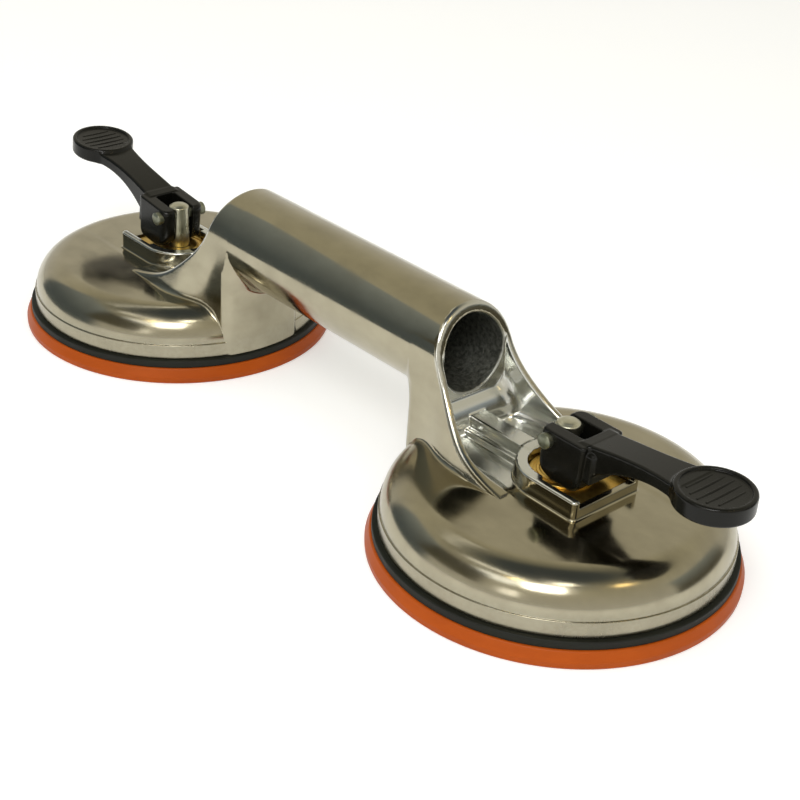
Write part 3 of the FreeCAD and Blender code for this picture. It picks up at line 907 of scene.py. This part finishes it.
    def distance(self, x: Array, y: Array, z: Array) -> Array:
        """Return the distance to the whole casting."""
        u, v = np.abs(x) - self.cup_x, np.abs(y)
        r = np.hypot(u, v)
        inside = np.clip((self.wall_fade[0] - r) / 4, 0, 1)
        fillet = self.sharp + self.dome_fillet * inside * (1 - ease(u, *self.fillet_fade))
        body = join(self.dome(r, z), self.leg(u, v, z, r), fillet)
        body = common(body, -self.scoop(u, v, z), self.scoop_edge)
        body = join(body, self.rib(u, v, z), self.floor_fillet)
        body = join(body, self.boss(u, v, z, r), self.boss_fillet)
        body = common(body, -self.pocket(u, v, z, r), self.hole_edge)
        return common(body, -self.hollow(u, v, z, r), self.rim_edge)

    def as_cast(self, points: Array) -> Array:
        """Return how rough each point is, from 0 for a mirror to 1 for the cast skin."""
        u, v, z = np.abs(points[:, 0]) - self.cup_x, np.abs(points[:, 1]), points[:, 2]
        r = np.hypot(u, v)
        bore = (1 - ease(np.hypot(v, z - self.tube_z), *self.bore_fade)) * (1 - ease(u, *self.bore_end))
        wall = self.wall_wear * ease(r, *self.wall_fade) * (1 - ease(z, *self.wall_top))
        shoulder = self.shoulder_wear * ease(r, *self.shoulder_fade) * (1 - ease(z, *self.shoulder_top))
        under = 1 - ease(self.hollow(u, v, z, r), *self.under_fade)
        return np.maximum.reduce([bore, wall, shoulder, under])

    def silver(self, points: Array) -> Array:
        """Return 1 where a paler colour is painted on as highlight: in the scoops, where it stands in for
        bright reflected light, and on the bosses' flat rims.

        The lip's outer edge carries a painted highlight too, a bright line along its rounding.
        """
        u, v, z = np.abs(points[:, 0]) - self.cup_x, np.abs(points[:, 1]), points[:, 2]
        r = np.hypot(u, v)
        # Painted highlight in the scoops, standing in for bright light reflected inside them
        scoop = (1 - ease(self.scoop(u, v, z), *self.scoop_fade)) * ease(u, *self.scoop_start)
        scoop *= ease(r, *self.boss_fade) * (1 - ease(u, *self.scoop_end)) * (1 - ease(z, *self.scoop_top))
        # Painted highlight on the bosses' flat rims
        rim = (1 - ease(self.boss(u, v, z, r), *self.rim_fade)) * ease(z, *self.rim_start)
        rim *= 1 - ease(r, *self.rim_reach)
        # Painted highlight: a bright line along the lip's rounded outer edge
        depths = np.minimum(self.section(u, v, z, self.tube_r), self.lip_height(u, z))
        edge = self.edge_shine * ease(depths, -self.lip_edge, -0.5 * self.lip_edge)
        edge *= 1 - ease(u, *self.edge_end)
        return np.maximum.reduce([scoop, rim, edge])

    def build(self, material: Material) -> None:
        """Make the casting's visible mesh and dress it."""
        step = self.step
        reach = self.cup_x + self.bead_r + 1
        form = Form("casting_shell", self.distance, (0, 0, self.rim_z - 1.5),
                    (reach, self.bead_r + 1, self.tube_z + self.tube_r + 1.5), step,
                    (True, True, False), self.share, self.fine)
        points, faces = form.surface()
        piece = new_mesh(form.name, points, faces, form.normals(points))
        # The first mask sets the cast skin's roughness and colour; the second marks where a paler colour is
        # painted on as highlight
        for name, mask in (("as_cast", self.as_cast(points)), ("silver", self.silver(points))):
            layer = piece.data.attributes.new(name, "FLOAT", "POINT")
            layer.data.foreach_set("value", mask.astype(np.float32))
        finish_piece(piece, material, "casting", ("handle_casting",))


def dressed_tree(tree: Tree, shape: Node,
                 material: Material) -> Tree:
    """End a Geometry Nodes tree with real geometry in its material, and return the tree."""
    real = add_node(tree, "GeometryNodeRealizeInstances", {}, (shape.outputs[0],))
    dressed = add_node(tree, "GeometryNodeSetMaterial", {},
                       {"Geometry": real.outputs[0], "Material": material})
    add_node(tree, "NodeGroupOutput", {}, (dressed.outputs[0],))
    return tree


@dataclass(frozen=True)
class Grip:
    """The plain raised bars on a lever's thumb disc."""

    count: int = 5
    pitch: float = 2.9
    reach: float = 8.2
    radius: float = 0.55

    def tree(self, material: Material) -> Tree:
        """Return the tree that sets rounded bars side by side inside a circle."""
        tree = bpy.data.node_groups.new("grip_bars", "GeometryNodeTree")
        face = tree.interface
        face.new_socket("Geometry", in_out="OUTPUT", socket_type="NodeSocketGeometry")
        for name, kind in (("Bars", "NodeSocketInt"), ("Pitch", "NodeSocketFloat"),
                           ("Reach", "NodeSocketFloat"), ("Bar Radius", "NodeSocketFloat")):
            face.new_socket(name, in_out="INPUT", socket_type=kind)
        given = add_node(tree, "NodeGroupInput").outputs
        half = add_node(tree, MATH, {"operation": "SUBTRACT"}, (given["Bars"], 1.0))
        half = add_node(tree, MATH, {"operation": "MULTIPLY"}, (half.outputs[0], -0.5))
        start = add_node(tree, MATH, {"operation": "MULTIPLY"}, (half.outputs[0], given["Pitch"]))
        origin = add_node(tree, COMBINE, {}, {"X": start.outputs[0]})
        pace = add_node(tree, COMBINE, {}, {"X": given["Pitch"]})
        line = add_node(tree, "GeometryNodeMeshLine", {},
                        {"Count": given["Bars"], "Start Location": origin.outputs[0],
                         "Offset": pace.outputs[0]})
        spot = add_node(tree, "GeometryNodeInputPosition").outputs[0]
        place = add_node(tree, SEPARATE, {}, (spot,)).outputs["X"]
        away = add_node(tree, MATH, {"operation": "DIVIDE"}, (place, given["Reach"]))
        away = add_node(tree, MATH, {"operation": "POWER"}, (away.outputs[0], 2.0))
        chord = add_node(tree, MATH, {"operation": "SUBTRACT"}, (1.0, away.outputs[0]))
        chord = add_node(tree, MATH, {"operation": "SQRT"}, (chord.outputs[0],))
        length = add_node(tree, MATH, {"operation": "MULTIPLY"}, (chord.outputs[0], given["Reach"]))
        size = add_node(tree, COMBINE, {},
                        (given["Bar Radius"], given["Bar Radius"], length.outputs[0]))
        rod = add_node(tree, "GeometryNodeMeshCylinder", {}, {"Vertices": 20, "Radius": 1.0, "Depth": 2.0})
        bars = add_node(tree, "GeometryNodeInstanceOnPoints", {},
                        {"Points": line.outputs["Mesh"], "Instance": rod.outputs["Mesh"],
                         "Rotation": (math.pi / 2, 0.0, 0.0), "Scale": size.outputs[0]})
        return dressed_tree(tree, bars, material)

    def sizes(self) -> dict[str, float]:
        """Return the values of the tree's named inputs."""
        return {"Bars": self.count, "Pitch": self.pitch * MM, "Reach": self.reach * MM,
                "Bar Radius": self.radius * MM}


def from_nodes(name: str, tree: Tree, sizes: dict[str, float],
               place: Matrix) -> Object:
    """Make a plain mesh piece from a Geometry Nodes tree.

    Args:
        name: Name of the piece.
        tree: The tree.
        sizes: Values of its named inputs.
        place: Where the result goes.

    Returns:
        The piece.
    """
    piece = placed(name, bpy.data.meshes.new(name))
    modifier = piece.modifiers.new("shape", "NODES")
    modifier.node_group = tree
    for item in tree.interface.items_tree:
        if item.in_out == "INPUT" and item.name in sizes:
            modifier[item.identifier] = sizes[item.name]
    mesh = evaluated(piece)
    mesh.transform(place)
    old = piece.data
    piece.data = mesh
    bpy.data.meshes.remove(old)
    mesh.name = name
    return piece


@dataclass(frozen=True)
class Lever:
    """A cam lever: fork with a cam foot, waisted arm and thumb disc, in the frame of its cup."""

    pin_z: float = 43.5
    reach: float = 13.15
    fall: float = 5.013
    fork_half: float = 9.0
    fork_back: float = 3.8
    fork_front: float = 14.4
    front_foot: float = 13.6
    foot_z: float = 33.85
    fork_top: float = 47.0
    back_corner: float = 3.0
    foot_corner: float = 3.3
    slot_half: float = 4.25
    slot_front: float = 10.4
    nose_front: float = 16.8
    nose_half: float = 7.4
    nose_foot: float = 34.6
    arm_top: tuple[Pair, ...] = ((11.4, 47.0), (29.3, 49.3), (47.2, 50.6))
    arm_under: tuple[Pair, ...] = ((11.4, 34.35), (23.4, 41.5), (47.2, 45.8))
    arm_width: tuple[Pair, ...] = ((8.0, 6.7), (14.0, 6.5), (30.0, 6.0), (40.0, 6.7), (50.0, 8.4))
    arm_end: float = 48.0
    disc_x: float = 55.3
    disc_r: float = 12.1
    disc_top: float = 51.8
    disc_thickness: float = 6.0
    dish_r: float = 10.3
    dish_depth: float = 0.75
    pin_r: float = 2.5
    pin_half: float = 11.3
    pin_crown: Pair = (0.08, 0.55)
    box_low: Triple = (-5.5, 0, 28.5)
    box_high: Triple = (69.0, 14.0, 53.5)
    step: float = 0.42
    quick_step: float = 0.8
    # How far the cam's flank is followed, in radians, and in how many steps
    cam_turn: float = 1.1
    cam_steps: int = 18
    # Roundings of edges and corners
    side_edge: float = 1.3
    top_edge: float = 0.7
    nose_edge: float = 0.9
    nose_drop: float = 2.2
    nose_fillet: float = 0.5
    slot_corner: float = 1.2
    inner_edge: float = 0.4
    arm_edges: Pair = (0.8, 0.9)
    disc_edge: float = 0.9
    dish_crown: float = 0.25
    root_fillet: float = 1.0

    def fork(self, x: Array, v: Array, z: Array) -> Array:
        """Return the distance to the fork, whose cam flank falls evenly as the lever turns."""
        cam = np.full(x.shape, -1e3)
        for turn in np.linspace(0, self.cam_turn, self.cam_steps):
            flank = -x * math.sin(turn) - (z - self.pin_z) * math.cos(turn) - (self.reach - self.fall * turn)
            cam = np.maximum(cam, flank)
        lean = (self.fork_front - self.front_foot) / (self.fork_top - self.foot_z)
        front = x - self.front_foot - lean * (z - self.foot_z)
        body = common(v - self.fork_half, -self.fork_back - x, self.back_corner)
        body = common(body, common(front, cam, self.foot_corner), self.side_edge)
        top_edge = self.top_edge + self.side_edge * np.clip(-x / self.fork_back, 0, 1)
        body = common(body, z - self.fork_top, top_edge)
        nose = common(v - self.nose_half, x - self.nose_front, self.nose_edge)
        ends = np.maximum(z - self.fork_top + self.nose_drop, self.nose_foot - z)
        nose = common(nose, ends, self.nose_edge)
        body = join(body, np.maximum(nose, 10.0 - x), self.nose_fillet)
        slot = common(v - self.slot_half, x - self.slot_front, self.slot_corner)
        return common(body, -slot, self.inner_edge)

    def arm(self, x: Array, v: Array, z: Array) -> Array:
        """Return the distance to the arm, crowned on top and hollow underneath."""
        tx, tz, tr = circle_through(*self.arm_top)
        ux, uz, ur = circle_through(*self.arm_under)
        top = np.hypot(x - tx, z - tz) - tr
        under = ur - np.hypot(x - ux, z - uz)
        at, half = spline(list(self.arm_width))
        arm = common(common(top, under, self.arm_edges[0]), v - np.interp(x, at, half), self.arm_edges[1])
        return np.maximum(arm, np.maximum(self.slot_front + 0.6 - x, x - self.arm_end))

    def disc(self, x: Array, v: Array, z: Array) -> Array:
        """Return the distance to the thumb disc with its dished top."""
        away = np.hypot(x - self.disc_x, v)
        half = self.disc_thickness / 2
        disc = common(away - self.disc_r, np.abs(z - self.disc_top + half) - half, self.disc_edge)
        floor = self.disc_top - self.dish_depth - self.dish_crown * (1 - (away / self.dish_r) ** 2)
        dish = common(away - self.dish_r, floor - z, self.inner_edge)
        return common(disc, -dish, self.inner_edge)

    def distance(self, x: Array, y: Array, z: Array) -> Array:
        """Return the distance to the whole lever."""
        v = np.abs(y)
        lever = join(self.fork(x, v, z), self.arm(x, v, z), self.root_fillet)
        return join(lever, self.disc(x, v, z), self.root_fillet)

    def place(self, side: Side) -> Matrix:
        """Return the turn, lift and drop that bring a lever from its cup's frame to its side."""
        joint = next(j for j in frame["joints"] if j["name"] == f"lever_hinge_{side.label}")
        pin = Vector(joint["pos_m"])
        lift = math.radians(-joint["range_deg"][0])
        turn = Matrix.Rotation(0 if side is Side.RIGHT else math.pi, 4, "Z")
        raised = Matrix.Rotation(-lift, 4, "Y")
        return Matrix.Translation(pin) @ turn @ raised @ Matrix.Translation((0, 0, -self.pin_z * MM))

    def build(self, coat: Material, steel: Material) -> None:
        """Make both levers, their grips and their pins."""
        step = self.step
        form = Form("lever", self.distance, self.box_low, self.box_high, step)
        points, faces = form.surface()
        normals = form.normals(points)
        grip = Grip()
        tree = grip.tree(coat)
        for side in Side:
            place = self.place(side)
            turn = np.array(place.to_3x3())
            shift = np.array(place.translation) / MM
            body = f"lever_{side.label}"
            piece = new_mesh(f"cam_lever_{side.label}", points @ turn.T + shift, faces, normals @ turn.T)
            finish_piece(piece, coat, body, (f"lever_{side.label}",))
            floor = self.disc_top - self.dish_depth - 0.45
            at = place @ Matrix.Translation((self.disc_x * MM, 0, floor * MM))
            bars = from_nodes(f"thumb_grip_{side.label}", tree, grip.sizes(), at)
            finish_piece(bars, coat, body)
            self.pin(side, place, steel)

    def pin(self, side: Side, place: Matrix, steel: Material) -> None:
        """Make one hinge pin with slightly domed ends."""
        r, half = self.pin_r, self.pin_half
        centre = place @ Vector((0, 0, self.pin_z * MM)) / MM
        low, high = self.pin_crown
        outline = [Corner(0, -half), Corner(r * 0.55, -half + low, 1.5), Corner(r, -half + high, 0.3),
                   Corner(r, half - high, 0.3), Corner(r * 0.55, half - low, 1.5), Corner(0, half)]
        piece = turned(f"pin_{side.label}", outline, tuple(centre), "Y", 48)
        finish_piece(piece, steel, f"lever_{side.label}", (f"hinge_pin_{side.label}",))


@dataclass(frozen=True)
class Coil:
    """A cup's return spring, coiled from round wire."""

    turns: float = 2.5
    wire_r: float = 0.7

    def tree(self, material: Material) -> Tree:
        """Return the tree that sweeps the wire along a helix."""
        tree = bpy.data.node_groups.new("coil", "GeometryNodeTree")
        tree.interface.new_socket("Geometry", in_out="OUTPUT", socket_type="NodeSocketGeometry")
        for name in ("Turns", "Coil Radius", "Height", "Wire Radius"):
            tree.interface.new_socket(name, in_out="INPUT", socket_type="NodeSocketFloat")
        given = add_node(tree, "NodeGroupInput").outputs
        path = add_node(tree, "GeometryNodeCurveSpiral", {},
                        {"Resolution": 40, "Rotations": given["Turns"], "Start Radius": given["Coil Radius"],
                         "End Radius": given["Coil Radius"], "Height": given["Height"]})
        wire = add_node(tree, "GeometryNodeCurvePrimitiveCircle", {},
                        {"Resolution": 14, "Radius": given["Wire Radius"]})
        swept = add_node(tree, "GeometryNodeCurveToMesh", {},
                         {"Curve": path.outputs[0], "Profile Curve": wire.outputs["Curve"],
                          "Fill Caps": True})
        smooth = add_node(tree, "GeometryNodeSetShadeSmooth", {}, {"Geometry": swept.outputs[0]})
        return dressed_tree(tree, smooth, material)

    def build(self, side: Side, tree: Tree, material: Material) -> None:
        """Make one spring, which stretches between the dome and the plate."""
        node = f"return_spring_{side.label}"
        low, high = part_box(node)
        wire = self.wire_r * MM
        radius = (high.y - low.y) / 2 - wire
        sizes = {"Turns": self.turns, "Coil Radius": radius, "Height": high.z - low.z - 2 * wire,
                 "Wire Radius": wire}
        place = Matrix.Translation((side.value * Casting.cup_x * MM, 0, low.z + wire))
        piece = from_nodes(f"coil_{side.label}", tree, sizes, place)
        piece.data.materials.clear()
        piece.data.materials.append(material)
        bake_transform(piece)
        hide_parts(node)
        LOG.info("%s: stretches between casting and stud_%s", piece.name, side.label)


@dataclass(frozen=True)
class Cup:
    """What one cup carries: rubber pad, backing ring, washer, stud and the hidden parts."""

    pad_r: float = 60.0
    band_z: float = 2.2
    bevel: float = 1.4
    lip_z: float = 5.5
    seal_r: float = 50.0
    groove: float = 0.5
    grooves: tuple[Triple, ...] = ((2.6, 3.0, 3.4), (5.6, 6.0, 6.4))
    membrane: float = 2.2
    flat_r: float = 24.0
    anchor_r: float = 27.3
    ring: Pair = (51.0, 58.0)
    ring_z: Pair = (5.5, 8.3)
    washer_bore: float = 4.2
    washer_r: float = 10.4
    washer_step: float = 7.4
    washer_groove: Triple = (8.2, 9.3, 0.7)
    stud_r: float = 3.9

    def lip(self, side: Side, centre: Triple, rubber: Material) -> None:
        """Make the pad's thick lip, with two sealing grooves underneath."""
        r, inner = self.pad_r, self.seal_r
        outline = [Corner(inner, 0.0, 0.3)]
        for before, deepest, after in self.grooves:
            outline += [Corner(inner + before, 0.0, 0.1), Corner(inner + deepest, self.groove, 0.2),
                        Corner(inner + after, 0.0, 0.1)]
        outline += [Corner(r - 0.1, 0.0, 0.5), Corner(r, self.band_z, 1.2),
                    Corner(r - self.bevel, self.lip_z, 0.7), Corner(inner - 0.6, self.lip_z, 0.3)]
        piece = turned(f"pad_lip_{side.label}", outline, centre, segments=224)
        finish_piece(piece, rubber, "casting")

    def middle(self, side: Side, centre: Triple, rubber: Material) -> None:
        """Make the pad's thin middle, whose top is set from the stud slide's range."""
        joint = next(j for j in frame["joints"] if j["name"] == f"stud_slide_{side.label}")
        top = self.lip_z + 4.7 + joint["range_m"][0] / MM
        low = top - self.membrane
        outline = [Corner(0, low), Corner(self.flat_r, low, 1.5), Corner(self.seal_r - 0.8, 0.4, 0.5),
                   Corner(self.seal_r - 0.8, self.lip_z - 0.3, 0.5), Corner(self.anchor_r, top, 2.0),
                   Corner(0, top)]
        piece = turned(f"pad_middle_{side.label}", outline, centre, segments=128)
        finish_piece(piece, rubber, "casting", (f"suction_pad_{side.label}",))
        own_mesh(piece)

    def build(self, side: Side, finishes: dict[str, Material]) -> None:
        """Make one cup's parts and dress the nodes that stay."""
        label = side.label
        centre = (side.value * Casting.cup_x, 0.0, 0.0)
        self.lip(side, centre, finishes["orange"])
        self.middle(side, centre, finishes["orange"])
        (r0, r1), (z0, z1) = self.ring, self.ring_z
        outline = [Corner(r0, z0, 0.3), Corner(r1, z0, 0.3), Corner(r1, z1, 0.5), Corner(r0, z1, 0.3)]
        piece = turned(f"backing_ring_{label}", outline, centre, segments=224)
        finish_piece(piece, finishes["black"], "casting", (f"rim_ring_{label}",))
        low, high = (v.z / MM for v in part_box(f"cam_washer_{label}"))
        inner, outer, depth = self.washer_groove
        outline = [Corner(self.washer_bore, low, 0.1), Corner(self.washer_r, low, 0.2),
                   Corner(self.washer_r, high - 0.4, 0.25), Corner(outer, high - 0.4, 0.1),
                   Corner(outer - 0.1, high - depth, 0.1), Corner(inner + 0.1, high - depth, 0.1),
                   Corner(inner, high - 0.35, 0.1), Corner(self.washer_step, high - 0.35, 0.2),
                   Corner(self.washer_step - 0.3, high, 0.2), Corner(self.washer_bore, high, 0.3)]
        piece = turned(f"stepped_washer_{label}", outline, centre, segments=96)
        finish_piece(piece, finishes["yellow"], "casting", (f"cam_washer_{label}",))
        low, high = (v.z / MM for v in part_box(f"stud_{label}"))
        r = self.stud_r
        outline = [Corner(0, low), Corner(r, low, 0.3), Corner(r, high - 1.1, 0.7),
                   Corner(r * 0.62, high - 0.2, 2.5), Corner(0, high)]
        piece = turned(f"domed_stud_{label}", outline, centre, segments=64)
        finish_piece(piece, finishes["zinc"], f"stud_{label}", (f"stud_{label}",))
        for node, finish in (("anchor_plate", "zinc"), ("lock_nut", "zinc"), ("spring_seat", "zinc"),
                             ("guide_bush", "brass"), ("wear_plate", "yellow")):
            dress_node(f"{node}_{label}", finishes[finish])


@dataclass(frozen=True)
class Camera:
    """The photograph's viewpoint, in degrees and millimetres; farthest is in metres."""

    azimuth: float = 46.726
    elevation: float = 29.131
    roll: float = 3.759
    distance: float = 526.668
    target: Triple = (28.63, -0.05, 20.0)
    lens: float = 69.24
    farthest: float = 20.0

    def build(self) -> None:
        """Set the camera up and make it the scene's."""
        roll = math.radians(self.roll)
        back = direction(self.azimuth, self.elevation)
        right = Vector((0, 0, 1)).cross(back).normalized()
        up = back.cross(right)
        across = math.cos(roll) * right + math.sin(roll) * up
        above = math.cos(roll) * up - math.sin(roll) * right
        turn = Matrix((across, above, back)).transposed()
        data = bpy.data.cameras.new("photo_camera")
        data.lens = self.lens
        data.clip_end = self.farthest
        camera = placed(data.name, data)
        place = (Vector(self.target) + back * self.distance) * MM
        camera.matrix_world = Matrix.Translation(place) @ turn.to_4x4()
        bpy.context.scene.camera = camera


@dataclass(frozen=True)
class Lamp:
    """A soft rectangular lamp aimed at the object.

    Attributes:
        name: Name of the lamp.
        azimuth: Its direction in degrees, counted as the camera's.
        elevation: Its height in degrees.
        distance: Its distance in metres.
        size: Its width and height in metres.
        power: Its power in watts.
        colour: Its colour.
        mirrored: Whether polished metal shows it.
    """

    name: str
    azimuth: float
    elevation: float
    distance: float
    size: Pair
    power: float
    colour: str = "#FFFFFF"
    mirrored: bool = True

    def build(self) -> None:
        """Add the lamp."""
        data = bpy.data.lights.new(self.name, "AREA")
        data.shape = "RECTANGLE"
        data.size, data.size_y = self.size
        data.energy = self.power
        data.color = linear(self.colour)[:3]
        back = direction(self.azimuth, self.elevation)
        lamp = placed(self.name, data)
        lamp.location = back * self.distance
        lamp.rotation_euler = back.to_track_quat("Z", "Y").to_euler()
        lamp.visible_glossy = self.mirrored
        lamp.visible_camera = False


@dataclass(frozen=True)
class Card:
    """A flat card beside the object that only its polished metal mirrors.

    Attributes:
        name: Name of the card.
        azimuth: Its direction in degrees, counted as the camera's.
        distance: Its distance in metres.
        size: Its width and height in metres.
        colour: Its colour.
        top_colour: The colour that it turns to at its top.
        foot: Height of its lower edge above the floor in metres.
        plain: Share of its height, from its lower edge, that keeps its colour.
    """

    name: str
    azimuth: float
    distance: float
    size: Pair
    colour: str
    top_colour: str = "#A3ABAE"
    foot: float = 0.0
    plain: float = 0.25

    def build(self) -> None:
        """Add the card."""
        width, height = self.size
        turn = Matrix.Rotation(math.radians(self.azimuth), 4, "Z")
        mesh = bpy.data.meshes.new(self.name)
        low, high = self.foot, self.foot + height
        corners = [(-width / 2, -self.distance, low), (width / 2, -self.distance, low),
                   (width / 2, -self.distance, high), (-width / 2, -self.distance, high)]
        mesh.from_pydata([turn @ Vector(c) for c in corners], [], [(0, 1, 2, 3)])
        material, tree, shader = blank_material(self.name)
        shader.inputs["Base Color"].default_value = (0, 0, 0, 1)
        shader.inputs["Specular IOR Level"].default_value = 0.0
        place = add_node(tree, "ShaderNodeTexCoord").outputs["Object"]
        rise = add_node(tree, SEPARATE, {}, {0: place}).outputs["Z"]
        top = add_node(tree, RANGE, {}, (rise, low + self.plain * height, high)).outputs["Result"]
        glow = add_node(tree, MIX, COLOURS, {0: top, 6: linear(self.colour), 7: linear(self.top_colour)})
        tree.links.new(glow.outputs[2], shader.inputs["Emission Color"])
        shader.inputs["Emission Strength"].default_value = 1.0
        mesh.materials.append(material)
        card = placed(self.name, mesh)
        card.visible_camera = card.visible_diffuse = card.visible_shadow = False


@dataclass(frozen=True)
class Studio:
    """Pale floor, soft lamps and the tones that the polished metal mirrors."""

    floor_size: float = 14.0
    floor_colour: str = "#EDEFF3"
    floor_glow: float = 0.32
    mirrored_glow: float = 0.86
    # Tones of the room by the sine of their elevation: warm up to mid height, dark overhead
    tones: tuple[tuple[float, str], ...] = (
        (0.0, "#DEDCD4"), (0.3, "#D8D4C8"), (0.5, "#D2CDBD"), (0.74, "#C6C0AA"),
        (0.9, "#8F8D7E"), (0.95, "#50575A"), (1.0, "#4A5156"))
    lamps: tuple[Lamp, ...] = (
        Lamp("overhead_softbox", 40, 80, 1.3, (1.5, 1.5), 4.6, mirrored=False),
        Lamp("camera_side_softbox", 42, 47, 1.3, (0.42, 0.36), 4.6),
        Lamp("window_left", 8, 46, 1.3, (0.5, 0.3), 0.9, "#EEF4FF"),
        Lamp("window_low", 22, 20, 1.2, (0.2, 0.3), 0.4),
        Lamp("left_fill", -60, 35, 1.6, (0.9, 0.9), 1.6, mirrored=False),
        Lamp("ceiling_strip_front", -2, 63, 1.3, (0.7, 0.1), 0.4),
        Lamp("ceiling_strip_left", -92, 62, 1.3, (0.7, 0.08), 0.22),
        Lamp("warm_lamp_right", 100, 50, 1.4, (0.1, 0.1), 0.4, "#FFDF9A"),
        Lamp("warm_lamp_left", 20, 56, 1.4, (0.09, 0.09), 0.35, "#FFE6A8"),
        Lamp("ceiling_lamp", 60, 62, 1.4, (0.16, 0.1), 0.6, "#FFFDF6"),
    )
    cards: tuple[Card, ...] = (Card("dark_wall_left", -50, 0.36, (0.36, 0.4), "#636C72"),
                               Card("dark_wall_front", -16, 0.36, (0.42, 0.27), "#5C5846", "#4A483E", 0.12),
                               Card("dark_wall_right", 128, 0.45, (0.3, 0.2), "#5F5B4E"))

    def build(self) -> None:
        """Set up the floor, the world, the lamps and the cards."""
        half = self.floor_size / 2
        mesh = bpy.data.meshes.new("floor")
        corners = [(-half, -half, 0), (half, -half, 0), (half, half, 0), (-half, half, 0)]
        mesh.from_pydata(corners, [], [(0, 1, 2, 3)])
        floor = placed("floor", mesh)
        material, tree, shader = blank_material("floor_painted_pale")
        shader.inputs["Base Color"].default_value = linear(self.floor_colour)
        shader.inputs["Roughness"].default_value = 0.8
        path = add_node(tree, "ShaderNodeLightPath").outputs
        glossy = add_node(tree, RANGE, {}, {0: path["Is Glossy Ray"], 4: self.mirrored_glow})
        brighter = {"operation": "MAXIMUM"}
        seen = add_node(tree, MATH, brighter, (path["Is Camera Ray"], glossy.outputs["Result"]))
        seen = add_node(tree, MATH, brighter, (seen.outputs[0], path["Is Transmission Ray"]))
        glow = add_node(tree, RANGE, {}, {0: seen.outputs[0], 4: self.floor_glow})
        shader.inputs["Emission Color"].default_value = (1, 1, 1, 1)
        tree.links.new(glow.outputs["Result"], shader.inputs["Emission Strength"])
        mesh.materials.append(material)
        floor.location.z = -0.05 * MM
        world = bpy.data.worlds.new("room")
        bpy.context.scene.world = world
        world.use_nodes = True
        tree = world.node_tree
        way = add_node(tree, "ShaderNodeTexCoord").outputs["Generated"]
        height = add_node(tree, SEPARATE, {}, {0: way}).outputs["Z"]
        tone = add_node(tree, "ShaderNodeValToRGB", {}, {"Fac": height})
        while len(tone.color_ramp.elements) < len(self.tones):
            tone.color_ramp.elements.new(1.0)
        for element, (place, colour) in zip(tone.color_ramp.elements, self.tones):
            element.position = place
            element.color = linear(colour)
        tree.links.new(tone.outputs["Color"], tree.nodes["Background"].inputs["Color"])
        for item in self.lamps + self.cards:
            item.build()


def main() -> None:
    """Build the studio and every piece."""
    logging.basicConfig(level=logging.INFO, format="%(name)s %(message)s")
    bpy.context.scene.view_settings.view_transform = "Standard"
    Camera().build()
    Studio().build()
    finishes = {"orange": ORANGE_RUBBER.build(), "black": BLACK_RUBBER.build(), "zinc": ZINC_STEEL.build(),
                "yellow": YELLOW_ZINC.build(), "brass": TURNED_BRASS.build()}
    Casting().build(DieCastAluminium().build())
    Lever().build(BLACK_COAT.build(), GROUND_STEEL.build())
    wire = SPRING_WIRE.build()
    coil = Coil()
    tree = coil.tree(wire)
    for side in Side:
        coil.build(side, tree, wire)
        Cup().build(side, finishes)


if __name__ == "__main__":
    main()
